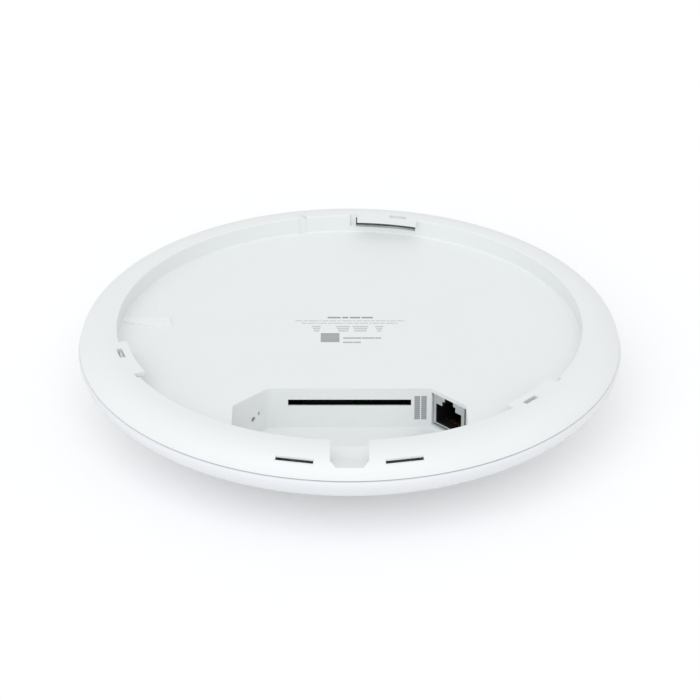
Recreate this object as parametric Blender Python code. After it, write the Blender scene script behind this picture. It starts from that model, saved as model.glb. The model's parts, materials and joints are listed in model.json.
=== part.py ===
"""Ceiling access point: a shallow round radio unit whose domed front faces the floor.

Its back cover has a raised ring round a recess for the ceiling bracket, three bayonet tabs and a
cable bay with the network jack. Inside are the antenna plate, the main board and a heat spreader.
The frame stands on the middle of the dome, with +Z towards the ceiling and the cable notch at -Y.
Sizes are in millimetres and are turned to metres where a mesh or an object's place is made.
"""
import math

import bmesh
import bpy
from mathutils import Matrix

MM = 0.001

# Covers
OUTER_RADIUS = 98.5
HEIGHT = 35.0
SEAM_Z = 27.0
SEAM_GAP = 0.4
LIP_Z = 25.9
COVER_WALL = 2.0
ROUND_STEPS = 60
CLEAR = 0.3

# Dome of the front cover: a quarter of a slightly pointed ellipse, cut off by the flat it stands on
DOME_DEPTH = LIP_Z + 0.2
DOME_POWER = 1.85
DOME_STEPS = 9
LENS_HOLE_RADIUS = 4.3

# Raised ring and recess of the back cover
RING_INNER_RADIUS = 84.2
RING_CREST_RADIUS = 87.0
RING_SLOPE_WIDTH = 11.0
RING_RISE = HEIGHT - SEAM_Z
RING_WALL = 1.8
RECESS_Z = 28.0
FLOOR_UNDER_Z = RECESS_Z - COVER_WALL

# Skirt of the back cover, which snaps into the front cover
SKIRT_OUTER_RADIUS = 95.8
SKIRT_INNER_RADIUS = 94.2
SKIRT_BOTTOM_Z = 24.4
SNAP_Z = 25.2
SNAP_RISE = 0.25
FRONT_RIM_RADIUS = 96.4

# Bayonet tabs, which turn into the ceiling bracket
TAB_WINDOW_ANGLES = (77.2, 197.2, 317.2)
TAB_INNER_RADIUS = 81.2
TAB_THICK = 1.6
TAB_GAP = 3.2
TAB_FROM_ANGLE = -5.6
TAB_TO_ANGLE = 10.8
TAB_WINDOW_RADIUS = 84.9
TAB_WINDOW_SIZE = (2.0, 6.5)
TAB_STOP_ANGLE = 12.7
TAB_STOP_RADIUS = 85.4

# Cable bay, sunk from the recess
BAY_BACK_Y = -38.2
BAY_HALF_BACK = 28.8
BAY_CHAMFER = 11.8
BAY_FLOOR_Z = 12.1
BAY_WALL = 1.6
BAY_TOP_RADIUS = 77.0
BAY_FOOT_RADIUS = 67.0
BAY_ARC_STEPS = 12
BAY_HALF_WIDTH = BAY_HALF_BACK + BAY_CHAMFER
BAY_SIDE_Y = BAY_BACK_Y - BAY_CHAMFER
VENT_HALF_LENGTH = 21.7
VENT_Z = (21.0, 23.5)
VENT_SKIN = 0.6
VENT_RELIEF = 1.0

# Cable notch and the two latch slots in the near part of the ring
NOTCH_HALF_WIDTH = 6.5
NOTCH_OUTER_HALF_WIDTH = 4.4
NOTCH_CORNER_Y = -94.2
NOTCH_OUTER_Y = -96.3
NOTCH_RAMP_Z = (28.1, 31.4)
NOTCH_FILL = ((-85.4, 26.4), (-95.0, 26.4), (-95.0, 27.6), (-95.6, 27.6), (-95.6, 29.4), (-93.5, 31.9),
              (-90.5, 33.6), (-85.4, 34.0))
NOTCH_FILL_HALF_WIDTH = 8.2
LATCH_SLOT_ANGLES = (258.8, 281.2)
LATCH_SLOT_HALF_LENGTH = 6.5

# Across a latch slot, as (radius, height): a ledge outside, and a room under the skin inside
LATCH_SLOT_OUTLINE = ((94.0, 40.0), (95.8, 40.0), (95.8, 31.85), (94.8, 32.0), (94.8, 29.6), (91.0, 29.6),
                      (91.0, 33.5), (94.0, 32.3))

# Index groove across the ring, and the low relief on the recess floor
GROOVE_ANGLE = 102.6
GROOVE_WIDTH = 3.0
GROOVE_DEPTH = 0.35
WEDGE_OUTLINE = ((-84.8, 12.6), (-66.3, 12.6), (-64.8, 5.0), (-84.6, 10.2))
WEDGE_RISE = 0.9
WEDGE_FALL = 0.1
PIP_CENTRE = (-73.3, 19.0)
PIP_SIZE = (2.4, 1.0, 0.5)

# Boards and plates, by the height of their faces
BOARD_Z = (11.7, 13.3)
BOARD_RADIUS = 71.0
BOARD_FRONT_Y = -52.0
BOARD_CLEAR = 2.6
PART_Z = BOARD_Z[1] + CLEAR
PLATE_Z = (8.8, 9.8)
PLATE_RADIUS = 60.0
SPREADER_Z = (22.5, 25.5)
SPREADER_RADIUS = 59.5
SPREADER_FRONT_Y = -6.0
CAN_HEIGHT = 3.4
PAD_Z = (17.3, 17.9)
PEDESTAL_Z = 18.2

# Screws: places in plan
BOSS_PLACES = ((60.1, 21.9), (19.8, 60.9), (-19.8, 60.9), (-60.1, 21.9), (-57.0, -29.0), (60.0, -20.0))
PILLAR_PLACES = ((-52.0, 2.0), (52.0, 2.0), (-24.0, 50.0), (24.0, 50.0))
POST_ANGLES = (90.0, 210.0, 330.0)
POST_RADIUS = 52.0
SCREW_HOLE_RADIUS = 1.5
SCREW_RADIUS = 1.2
SCREW_LENGTH = 8.4
SCREW_HEAD = (2.4, 1.3)
PLATE_SCREW_OUTLINE = ((0.0, 10.8), (0.8, 10.8), (0.8, 11.3), (2.4, 11.3), (2.4, 10.1), (1.1, 10.1),
                       (1.1, 6.2), (0.0, 6.2))

# Antennas on the floor side of the plate
ANTENNA_ANGLES = (45.0, 135.0, 225.0, 315.0)
ANTENNA_RADIUS = 36.0
LEAD_RADIUS = 0.55
LEAD_Z = 10.75
LEAD_FOOT_RADIUS = 27.6
LEAD_PLUG_RADIUS = 15.0
LEAD_TURN = 12.0

# What the board carries: (name, place, size)
CANS = (
    ("processor_can", (0.0, 20.0), (30.0, 30.0)),
    ("radio_can_1", (-34.0, 24.0), (24.0, 20.0)),
    ("radio_can_2", (34.0, 24.0), (24.0, 20.0)),
)
CHIPS = (
    ("processor", (0.0, 20.0), (19.0, 19.0, 1.6)),
    ("radio_chip_1", (-34.0, 24.0), (10.0, 10.0, 1.0)),
    ("radio_chip_2", (34.0, 24.0), (10.0, 10.0, 1.0)),
    ("memory_chip", (20.0, -4.0), (12.0, 8.0, 1.0)),
    ("lan_transformer", (18.0, -22.0), (16.0, 12.0, 6.0)),
    ("poe_transformer", (-8.0, -24.0), (18.0, 16.0, 10.5)),
    ("poe_inductor", (-46.0, -23.0), (12.0, 12.0, 7.0)),
)
CAPACITOR_PLACES = ((-24.0, -27.0), (-24.0, -14.0), (-34.0, -14.0))

# Network jack, square to the right chamfer wall of the bay
JACK_LENGTH = 21.0
JACK_HALF_WIDTH = 7.5
JACK_LOW_Z = 14.2
JACK_HEIGHT = 12.5
JACK_SETBACK = 0.5
JACK_SHIFT = 0.4
JACK_SKIN = 0.5
JACK_SOCKET_DEPTH = 15.0
JACK_ROOF_Z = 27.0
JACK_WINDOW_Z = (13.2, 26.5)
JACK_WINDOW_HALF_WIDTH = 8.2

# Half the socket's outline as (y, height): an eight-way plug, with the stepped keyway for its latch
SOCKET_HALF = ((6.0, 0.8), (6.0, 8.4), (3.1, 8.4), (3.1, 10.3), (2.0, 10.3), (2.0, 11.9))
CONTACT_COUNT = 8
CONTACT_PITCH = 1.02
CONTACT_WIDTH = 0.5
CONTACT_THICK = 0.4
CONTACT_X = (-14.4, -12.6, -3.2)
CONTACT_HEIGHT = 1.5
CONTACT_SLOPE = 5.0

# Reset switch, behind a hole in the left chamfer wall
RESET_X = -33.8
RESET_Z = 18.3
RESET_HOLE_RADIUS = 1.0
RESET_STEM_RADIUS = 0.7
RESET_TRAVEL = 0.3

# Colours
WHITE_PLASTIC = (0.86, 0.87, 0.87)
BLACK_PLASTIC = (0.02, 0.02, 0.022)
BOARD_GREEN = (0.02, 0.12, 0.06)
STEEL = (0.62, 0.62, 0.62)
ALUMINIUM = (0.66, 0.67, 0.68)
GOLD = (0.83, 0.62, 0.25)
PAD_GREY = (0.35, 0.38, 0.42)


# Helpers ---------------------------------------------------------------------------------------

def clear_scene():
    for obj in list(bpy.data.objects):
        bpy.data.objects.remove(obj)


def material(name, colour, roughness, metallic=0.0):
    mat = bpy.data.materials.new(name)
    mat.use_nodes = True
    shader = mat.node_tree.nodes["Principled BSDF"]
    shader.inputs["Base Color"].default_value = (*colour, 1.0)
    shader.inputs["Roughness"].default_value = roughness
    shader.inputs["Metallic"].default_value = metallic
    return mat


def polar(radius, angle):
    turn = math.radians(angle)
    return (radius * math.cos(turn), radius * math.sin(turn))


def arc(radius, start, end, steps, rise=None, centre=(0.0, 0.0)):
    """Points of an arc, or of an ellipse where rise is its other half axis."""
    rise = radius if rise is None else rise
    turns = [math.radians(start + (end - start) * step / steps) for step in range(steps + 1)]
    return [(centre[0] + radius * math.cos(turn), centre[1] + rise * math.sin(turn)) for turn in turns]


def object_from(name, bm, mat=None):
    bmesh.ops.remove_doubles(bm, verts=bm.verts, dist=1e-6)
    bmesh.ops.recalc_face_normals(bm, faces=bm.faces)
    mesh = bpy.data.meshes.new(name)
    bm.to_mesh(mesh)
    bm.free()
    mesh.shade_smooth()
    mesh.set_sharp_from_angle(angle=math.radians(30))
    obj = bpy.data.objects.new(name, mesh)
    bpy.context.scene.collection.objects.link(obj)
    if mat:
        mesh.materials.append(mat)
    return obj


def turned(name, outline, mat=None, steps=ROUND_STEPS):
    """A solid of revolution from a closed outline of (radius, height) points."""
    bm = bmesh.new()
    points = [bm.verts.new((radius * MM, 0.0, height * MM)) for radius, height in outline]
    for start, end in zip(points, points[1:] + points[:1]):
        if start.co.x > 0.0 or end.co.x > 0.0:
            bm.edges.new((start, end))
    bmesh.ops.spin(bm, geom=list(bm.verts) + list(bm.edges), cent=(0, 0, 0), axis=(0, 0, 1),
                   angle=math.tau, steps=steps, use_merge=True, use_duplicate=False)
    return object_from(name, bm, mat)


def prism(name, outline, low, high, mat=None):
    """An upright solid from an outline of (x, y) points, between two heights."""
    return lofted(name, outline, outline, low, high, mat)


def lofted(name, low_outline, high_outline, low, high, mat=None):
    """A solid between two outlines with as many points each."""
    bm = bmesh.new()
    foot = [bm.verts.new((x * MM, y * MM, low * MM)) for x, y in low_outline]
    head = [bm.verts.new((x * MM, y * MM, high * MM)) for x, y in high_outline]
    bm.faces.new(foot)
    bm.faces.new(head)
    for corner in range(len(foot)):
        bm.faces.new((foot[corner - 1], foot[corner], head[corner], head[corner - 1]))
    return object_from(name, bm, mat)


def block(name, size, centre, mat=None, turn=0.0):
    """A box of (x, y, z) size whose centre is placed, turned about the upright axis."""
    bm = bmesh.new()
    bmesh.ops.create_cube(bm, size=MM)
    bmesh.ops.scale(bm, vec=size, verts=bm.verts)
    return place(object_from(name, bm, mat), centre, turn)


def rod(name, radius, low, high, spot=(0.0, 0.0), mat=None, steps=16):
    """An upright cylinder at a spot in plan."""
    outline = arc(radius, 0, 360 - 360 / steps, steps - 1)
    return place(prism(name, outline, low, high, mat), (spot[0], spot[1], 0.0))


def sector(name, inner, outer, start, end, low, high, steps=6):
    outline = arc(inner, start, end, steps) + arc(outer, end, start, steps)
    return prism(name, outline, low, high)


def place(obj, spot, turn=0.0):
    obj.location = [value * MM for value in spot]
    obj.rotation_euler = (0.0, 0.0, math.radians(turn))
    return obj


def shape_with(target, tool, operation):
    tool.hide_render = True
    tool.display_type = "WIRE"
    step = target.modifiers.new(tool.name, "BOOLEAN")
    step.operation = operation
    step.object = tool
    step.solver = "EXACT"


def add(target, *tools):
    for tool in tools:
        shape_with(target, tool, "UNION")


def cut(target, *tools):
    for tool in tools:
        shape_with(target, tool, "DIFFERENCE")


# Covers ----------------------------------------------------------------------------------------

def dome_curve(radius, depth, highest, lowest, steps):
    """Superellipse from near the widest circle down to a flat."""
    start = math.asin(((LIP_Z - highest) / depth) ** (DOME_POWER / 2))
    end = math.asin(((LIP_Z - lowest) / depth) ** (DOME_POWER / 2))
    turns = [start + (end - start) * step / steps for step in range(steps + 1)]
    return [(radius * math.cos(turn) ** (2 / DOME_POWER), LIP_Z - depth * math.sin(turn) ** (2 / DOME_POWER))
            for turn in turns]


def front_cover():
    white = material("front_cover_white_plastic", WHITE_PLASTIC, 0.38)
    top = SEAM_Z - SEAM_GAP / 2 + 0.05
    lip = [(OUTER_RADIUS - 0.8, top), (OUTER_RADIUS - 0.35, top - 0.2), (OUTER_RADIUS - 0.08, top - 0.55)]
    outside = dome_curve(OUTER_RADIUS, DOME_DEPTH, LIP_Z, 0.0, DOME_STEPS)
    groove = FRONT_RIM_RADIUS + CLEAR
    snap = [(FRONT_RIM_RADIUS, SNAP_Z - 0.8), (groove, SNAP_Z - 0.6), (groove, SNAP_Z + 0.6),
            (FRONT_RIM_RADIUS, SNAP_Z + 0.8)]
    inside = dome_curve(FRONT_RIM_RADIUS, DOME_DEPTH - COVER_WALL, SNAP_Z - 1.2, COVER_WALL, DOME_STEPS)
    rim = snap[::-1] + inside
    outline = lip + outside + [(LENS_HOLE_RADIUS, 0.0), (LENS_HOLE_RADIUS, COVER_WALL)]
    outline += rim[::-1] + [(FRONT_RIM_RADIUS, top)]
    cover = turned("front_cover", outline, white)
    for number, angle in enumerate(POST_ANGLES, 1):
        spot = polar(POST_RADIUS, angle)
        add(cover, rod(f"post_{number}", 3.0, 5.4, PLATE_Z[0] - CLEAR, spot))
        cut(cover, rod(f"post_hole_{number}", SCREW_HOLE_RADIUS, 5.8, PLATE_Z[0] + 1.0, spot, steps=12))
    return cover


def back_cover_shell():
    white = material("back_cover_white_plastic", WHITE_PLASTIC, 0.42)
    centre = (RING_CREST_RADIUS, SEAM_Z)
    under = SEAM_Z + SEAM_GAP / 2 + 0.05
    start = math.degrees(math.asin((under - SEAM_Z) / RING_RISE))
    slope = arc(RING_SLOPE_WIDTH, 90, start, 10, rise=RING_RISE, centre=centre)
    inner_width = RING_SLOPE_WIDTH - COVER_WALL
    inner_rise = RING_RISE - COVER_WALL
    inner_start = math.degrees(math.acos((SKIRT_INNER_RADIUS - RING_CREST_RADIUS) / inner_width))
    hollow = arc(inner_width, inner_start, 90, 5, rise=inner_rise, centre=centre)
    wall = RING_INNER_RADIUS + RING_WALL
    ridge = SKIRT_OUTER_RADIUS + SNAP_RISE
    outline = [(0.0, RECESS_Z), (RING_INNER_RADIUS, RECESS_Z), (RING_INNER_RADIUS, HEIGHT - 0.3)]
    outline += [(RING_INNER_RADIUS + 0.3, HEIGHT)] + slope
    outline += [(SKIRT_OUTER_RADIUS, under), (SKIRT_OUTER_RADIUS, SNAP_Z + 0.5), (ridge, SNAP_Z + 0.2)]
    outline += [(ridge, SNAP_Z - 0.2), (SKIRT_OUTER_RADIUS, SNAP_Z - 0.5)]
    outline += [(SKIRT_OUTER_RADIUS, SKIRT_BOTTOM_Z), (SKIRT_INNER_RADIUS, SKIRT_BOTTOM_Z)] + hollow
    outline += [(wall, HEIGHT - COVER_WALL), (wall, FLOOR_UNDER_Z), (0.0, FLOOR_UNDER_Z)]
    return turned("back_cover", outline, white)


def bay_outline(near_radius, offset):
    """Plan of the cable bay: straight back, two chamfers, two sides and a round near wall."""
    slant = offset * math.tan(math.radians(22.5))
    half_width = BAY_HALF_WIDTH + offset
    radius = near_radius + offset
    side = math.degrees(math.acos(half_width / radius))
    near = arc(radius, 360 - side, 180 + side, BAY_ARC_STEPS)
    back = [(-half_width, BAY_SIDE_Y + slant), (-BAY_HALF_BACK - slant, BAY_BACK_Y + offset)]
    return near + back + [(-x, y) for x, y in back[::-1]]


def cable_bay(cover):
    tub = lofted("bay_tub", bay_outline(BAY_FOOT_RADIUS, BAY_WALL), bay_outline(BAY_TOP_RADIUS, BAY_WALL),
                 BAY_FLOOR_Z - BAY_WALL, RECESS_Z - 1.0)
    over = (BAY_TOP_RADIUS - BAY_FOOT_RADIUS) / (RECESS_Z - BAY_FLOOR_Z)
    room = lofted("bay_room", bay_outline(BAY_FOOT_RADIUS, 0.0), bay_outline(BAY_TOP_RADIUS + over, 0.0),
                  BAY_FLOOR_Z, RECESS_Z + 1.0)
    vent_height = VENT_Z[1] - VENT_Z[0]
    vent = block("bay_vent", (2 * VENT_HALF_LENGTH, 4.0, vent_height),
                 (0.0, BAY_BACK_Y + BAY_WALL / 2, sum(VENT_Z) / 2))
    relief_size = (2 * (VENT_HALF_LENGTH + VENT_RELIEF), BAY_WALL, vent_height + 2 * VENT_RELIEF)
    relief = block("bay_vent_relief", relief_size,
                   (0.0, BAY_BACK_Y + VENT_SKIN + BAY_WALL / 2, sum(VENT_Z) / 2))
    add(cover, tub)
    cut(cover, room, relief, vent)


def bayonet_tabs(cover):
    """Each tab lies over a slot through the ring's wall, and ends at a stop cut into the ring."""
    tab_low = HEIGHT - TAB_THICK
    slot = tab_low - TAB_GAP
    for number, angle in enumerate(TAB_WINDOW_ANGLES, 1):
        start = angle + TAB_FROM_ANGLE
        end = angle + TAB_TO_ANGLE
        gap = sector(f"tab_gap_{number}", RING_INNER_RADIUS - 0.6, RING_INNER_RADIUS + RING_WALL + 0.6,
                     start + 0.7, end + 0.3, slot, tab_low + CLEAR)
        tab = sector(f"tab_{number}", TAB_INNER_RADIUS, RING_INNER_RADIUS + 1.0, start, end, tab_low,
                     HEIGHT - 0.1)
        stop = sector(f"tab_stop_{number}", TAB_INNER_RADIUS - 1.0, TAB_STOP_RADIUS, end - 0.1,
                      angle + TAB_STOP_ANGLE, slot + 0.4, HEIGHT + 1.0, steps=2)
        window = block(f"tab_window_{number}", (*TAB_WINDOW_SIZE, 4.0),
                       (*polar(TAB_WINDOW_RADIUS, angle), HEIGHT - 0.5), turn=angle)
        cut(cover, gap)
        add(cover, tab)
        cut(cover, stop, window)


def cable_notch(cover):
    """A ramp through the near part of the ring, with the hollow under it filled in."""
    cover_fill = prism("notch_fill", NOTCH_FILL, -NOTCH_FILL_HALF_WIDTH, NOTCH_FILL_HALF_WIDTH)
    tip_up(cover_fill)
    low, high = NOTCH_RAMP_Z
    steep = (high - low) / (RING_INNER_RADIUS + NOTCH_OUTER_Y)
    ramp = [(-80.0, low), (-RING_INNER_RADIUS - 0.3, low), (NOTCH_OUTER_Y, high)]
    ramp += [(-99.5, high + steep * (-99.5 - NOTCH_OUTER_Y)), (-99.5, 40.0), (-80.0, 40.0)]
    path = prism("notch_path", ramp, -NOTCH_HALF_WIDTH - 1.0, NOTCH_HALF_WIDTH + 1.0)
    tip_up(path)
    right = [(NOTCH_OUTER_HALF_WIDTH, NOTCH_OUTER_Y - 0.1), (NOTCH_HALF_WIDTH, NOTCH_CORNER_Y),
             (NOTCH_HALF_WIDTH, -79.0)]
    shape = right + [(-x, y) for x, y in right[::-1]]
    shape_with(path, prism("notch_limit", shape, 20.0, 45.0), "INTERSECT")
    add(cover, cover_fill)
    cut(cover, path)


def tip_up(obj):
    """Turn a prism drawn in (y, z) so that its length runs along X."""
    obj.data.transform(Matrix(((0, 0, 1, 0), (1, 0, 0, 0), (0, 1, 0, 0), (0, 0, 0, 1))))


def ring_details(cover):
    for number, angle in enumerate(LATCH_SLOT_ANGLES, 1):
        half = LATCH_SLOT_HALF_LENGTH
        slot = prism(f"latch_slot_{number}", LATCH_SLOT_OUTLINE, -half, half)
        tip_up(slot)
        cut(cover, place(slot, (0.0, 0.0, 0.0), angle - 90.0))
    spot = polar(RING_INNER_RADIUS + 3.0, GROOVE_ANGLE)
    groove_top = block("groove_top", (9.0, GROOVE_WIDTH, 2.0), (*spot, HEIGHT - GROOVE_DEPTH + 1.0),
                       turn=GROOVE_ANGLE)
    wall_spot = polar(RING_INNER_RADIUS + GROOVE_DEPTH - 1.0, GROOVE_ANGLE)
    groove_wall = block("groove_wall", (2.0, GROOVE_WIDTH, 10.0), (*wall_spot, RECESS_Z + 5.2),
                        turn=GROOVE_ANGLE)
    cut(cover, groove_top, groove_wall)


def floor_relief(cover):
    """A wedge whose top falls towards -Y, and a pip."""
    wedge = prism("wedge", WEDGE_OUTLINE, RECESS_Z - 1.0, RECESS_Z + WEDGE_RISE)
    for vertex in wedge.data.vertices:
        if vertex.co.z > RECESS_Z * MM:
            vertex.co.z -= WEDGE_FALL * (WEDGE_OUTLINE[0][1] * MM - vertex.co.y)
    width, depth, rise = PIP_SIZE
    pip = block("pip", (width, depth, rise + 1.0), (*PIP_CENTRE, RECESS_Z + (rise - 1.0) / 2))
    add(cover, wedge, pip)


def jack_roof():
    """A pocket in the underside of the recess floor, which gives the jack its height."""
    low = FLOOR_UNDER_Z - 1.0
    return block("jack_roof", (JACK_LENGTH + 1.0, 2 * JACK_HALF_WIDTH + 1.0, JACK_ROOF_Z - low),
                 jack_place(JACK_LENGTH / 2 + 0.8, (low + JACK_ROOF_Z) / 2), turn=225)


def screw_bosses(cover):
    for number, spot in enumerate(BOSS_PLACES, 1):
        add(cover, rod(f"boss_{number}", 3.2, PART_Z, RECESS_Z - 1.0, spot))
        cut(cover, rod(f"boss_hole_{number}", SCREW_HOLE_RADIUS, BOARD_Z[1], 22.0, spot, steps=12))


def back_cover():
    cover = back_cover_shell()
    screw_bosses(cover)
    cable_bay(cover)
    cable_notch(cover)
    bayonet_tabs(cover)
    ring_details(cover)
    floor_relief(cover)
    cut(cover, jack_roof(), jack_window(), reset_hole())
    return cover


# Network jack ----------------------------------------------------------------------------------

def jack_place(depth, height, shift=JACK_SHIFT):
    """A point behind the right chamfer wall, a little off its middle, measured square to the wall."""
    middle = BAY_HALF_BACK + BAY_CHAMFER / 2
    square = math.sqrt(0.5)
    back = BAY_BACK_Y - BAY_CHAMFER / 2
    return (middle + square * (depth - shift), back + square * (depth + shift), height)


def jack_window():
    height = JACK_WINDOW_Z[1] - JACK_WINDOW_Z[0]
    return block("jack_window", (4.0, 2 * JACK_WINDOW_HALF_WIDTH, height),
                 jack_place(BAY_WALL / 2, sum(JACK_WINDOW_Z) / 2, shift=0.0), turn=225)


def socket_tool(name, back):
    """The socket's room, drawn in (y, z) and running along the jack's own X axis."""
    tool = prism(name, SOCKET_HALF + tuple((-y, z) for y, z in SOCKET_HALF[::-1]), back, 1.0)
    tip_up(tool)
    return place(tool, jack_place(JACK_SETBACK, JACK_LOW_Z), 225)


def jack_box(name, near, far, half_width, low, high, mat=None):
    """A box in the jack's frame: near and far are depths behind its face."""
    spot = jack_place(JACK_SETBACK + (near + far) / 2, JACK_LOW_Z + (low + high) / 2)
    return block(name, (far - near, 2 * half_width, high - low), spot, mat, 225)


def lan_jack():
    steel = material("jack_shield_tinned_steel", STEEL, 0.3, 1.0)
    skin = JACK_SKIN
    shield = jack_box("lan_jack_shield", 0.0, JACK_LENGTH, JACK_HALF_WIDTH, 0.0, JACK_HEIGHT, steel)
    cut(shield, jack_box("shield_room", skin, JACK_LENGTH - skin, JACK_HALF_WIDTH - skin, -1.0,
                         JACK_HEIGHT - skin), socket_tool("shield_mouth", -3.0))
    black = material("jack_black_nylon", BLACK_PLASTIC, 0.5)
    inset = skin + CLEAR
    core = jack_box("lan_jack_insulator", inset, JACK_LENGTH - inset, JACK_HALF_WIDTH - inset, CLEAR,
                    JACK_HEIGHT - inset, black)
    cut(core, socket_tool("socket_room", -JACK_SOCKET_DEPTH))
    contact_comb()


def contact_comb():
    """Eight flat springs on one carrier, lying along the bottom of the socket."""
    gold = material("jack_gold_contacts", GOLD, 0.25, 1.0)
    half = (CONTACT_COUNT - 1) * CONTACT_PITCH / 2
    side = half + 0.6
    back, root, tip = CONTACT_X
    outline = [(root, side), (back, side), (back, -side), (root, -side)]
    for number in range(CONTACT_COUNT):
        low = number * CONTACT_PITCH - half - CONTACT_WIDTH / 2
        high = low + CONTACT_WIDTH
        outline += [(root, low), (tip, low), (tip, high), (root, high)]
    comb = prism("lan_jack_contacts", outline, -CONTACT_THICK / 2, CONTACT_THICK / 2, gold)
    place(comb, jack_place(JACK_SETBACK, JACK_LOW_Z + CONTACT_HEIGHT), 225)
    comb.rotation_euler.rotate_axis("Y", math.radians(CONTACT_SLOPE))


# Reset switch ----------------------------------------------------------------------------------

def reset_place(depth, height=RESET_Z):
    """A point behind the left chamfer wall, in line with the reset hole."""
    y = BAY_BACK_Y - (-RESET_X - BAY_HALF_BACK)
    side = math.sqrt(0.5) * depth
    return (RESET_X - side, y + side, height)


def reset_rod(name, radius, near, far, mat=None):
    """A round bar along the reset hole's axis: its origin is at the hole's mouth."""
    outline = arc(radius, 0, 337.5, 15)
    bar = prism(name, outline, near, far, mat)
    bar.data.transform(Matrix.Rotation(math.radians(90), 4, "Y"))
    return place(bar, reset_place(0.0), 135)


def reset_hole():
    return reset_rod("reset_hole", RESET_HOLE_RADIUS, -1.0, BAY_WALL + 0.5)


def reset_switch():
    dark = material("switch_black_nylon", BLACK_PLASTIC, 0.45)
    low = PART_Z
    high = RESET_Z + 2.5
    body = block("reset_switch", (3.6, 6.0, high - low), reset_place(4.0, (low + high) / 2), dark, 135)
    cut(body, reset_rod("switch_bore", RESET_STEM_RADIUS + CLEAR, 1.8, 4.0))
    grey = material("button_grey_nylon", (0.45, 0.46, 0.47), 0.5)
    reset_rod("reset_button", RESET_STEM_RADIUS, 0.6, 4.0 - RESET_TRAVEL - CLEAR, grey)


# Boards, plates and what they carry -------------------------------------------------------------

def board_outline():
    """A round board cut away round the cable bay."""
    side = math.degrees(math.asin(BOARD_FRONT_Y / BOARD_RADIUS))
    slant = BOARD_CLEAR * math.tan(math.radians(22.5))
    half = BAY_HALF_WIDTH + BOARD_CLEAR
    edge = [(-half, BOARD_FRONT_Y), (-half, BAY_SIDE_Y + slant)]
    edge += [(-BAY_HALF_BACK - slant, BAY_BACK_Y + BOARD_CLEAR)]
    return arc(BOARD_RADIUS, side, 180 - side, 48) + edge + [(-x, y) for x, y in edge[::-1]]


def main_board():
    green = material("board_green_laminate", BOARD_GREEN, 0.45)
    board = prism("main_board", board_outline(), *BOARD_Z, green)
    low, high = BOARD_Z[0] - 1.0, BOARD_Z[1] + 1.0
    for number, spot in enumerate(BOSS_PLACES + PILLAR_PLACES, 1):
        cut(board, rod(f"board_hole_{number}", SCREW_HOLE_RADIUS, low, high, spot, steps=12))


def shield_cans():
    tin = material("can_tinned_steel", STEEL, 0.35, 1.0)
    for name, (x, y), (width, depth) in CANS:
        can = block(name, (width, depth, CAN_HEIGHT), (x, y, PART_Z + CAN_HEIGHT / 2), tin)
        cut(can, block(f"{name}_room", (width - 0.8, depth - 0.8, CAN_HEIGHT),
                       (x, y, PART_Z + CAN_HEIGHT / 2 - 0.4)))


def thermal_pads():
    soft = material("thermal_pad_silicone", PAD_GREY, 0.8)
    for number, (_, (x, y), (width, depth)) in enumerate(CANS, 1):
        size = (width - 6.0, depth - 6.0, PAD_Z[1] - PAD_Z[0])
        block(f"thermal_pad_{number}", size, (x, y, sum(PAD_Z) / 2), soft)


def board_parts():
    black = material("chip_black_epoxy", BLACK_PLASTIC, 0.4)
    for name, (x, y), (width, depth, height) in CHIPS:
        block(name, (width, depth, height), (x, y, PART_Z + height / 2), black)
    sleeve = material("capacitor_sleeve", (0.03, 0.04, 0.07), 0.3)
    for number, spot in enumerate(CAPACITOR_PLACES, 1):
        rod(f"poe_capacitor_{number}", 4.0, PART_Z, PART_Z + 10.0, spot, sleeve, steps=20)


def heat_spreader():
    cast = material("spreader_cast_aluminium", ALUMINIUM, 0.45, 1.0)
    side = math.degrees(math.asin(SPREADER_FRONT_Y / SPREADER_RADIUS))
    plate = prism("heat_spreader", arc(SPREADER_RADIUS, side, 180 - side, 40), *SPREADER_Z, cast)
    for name, (x, y), (width, depth) in CANS:
        size = (width - 8.0, depth - 8.0, SPREADER_Z[0] + 1.0 - PEDESTAL_Z)
        add(plate, block(f"{name}_pedestal", size, (x, y, PEDESTAL_Z + size[2] / 2)))
    for number, spot in enumerate(PILLAR_PLACES, 1):
        add(plate, rod(f"pillar_{number}", 3.0, PART_Z, SPREADER_Z[0] + 1.0, spot))
        cut(plate, rod(f"pillar_hole_{number}", SCREW_HOLE_RADIUS, BOARD_Z[1], 22.0, spot, steps=12))


def antenna_plate():
    sheet = material("plate_aluminium_sheet", ALUMINIUM, 0.35, 1.0)
    plate = prism("antenna_plate", arc(PLATE_RADIUS, 0, 354, 59), *PLATE_Z, sheet)
    low, high = PLATE_Z[0] - 1, PLATE_Z[1] + 1
    for number, angle in enumerate(ANTENNA_ANGLES, 1):
        cut(plate, rod(f"lead_hole_{number}", 1.5, low, high, polar(LEAD_FOOT_RADIUS, angle), steps=12))
    for number, angle in enumerate(POST_ANGLES, 1):
        cut(plate, rod(f"plate_hole_{number}", 1.6, low, high, polar(POST_RADIUS, angle), steps=12))
    cut(plate, block("ribbon_slot", (2.0, 8.0, 4.0), (5.5, 0.0, sum(PLATE_Z) / 2)))


def antennas():
    """Stamped patches, each with two folded legs that stand on the plate."""
    brass = material("antenna_tinned_brass", (0.72, 0.69, 0.6), 0.3, 1.0)
    outer, inner, low, top = 6.5, 6.1, 5.7, PLATE_Z[0] - CLEAR
    outline = [(-outer, top), (-outer, low), (outer, low), (outer, top), (inner, top), (inner, low + 0.4),
               (-inner, low + 0.4), (-inner, top)]
    for number, angle in enumerate(ANTENNA_ANGLES, 1):
        patch = prism(f"antenna_{number}", outline, -8.0, 8.0, brass)
        tip_up(patch)
        patch.data.transform(Matrix.Rotation(math.radians(-90), 4, "Z"))
        place(patch, (*polar(ANTENNA_RADIUS, angle), 0.0), angle)


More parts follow.
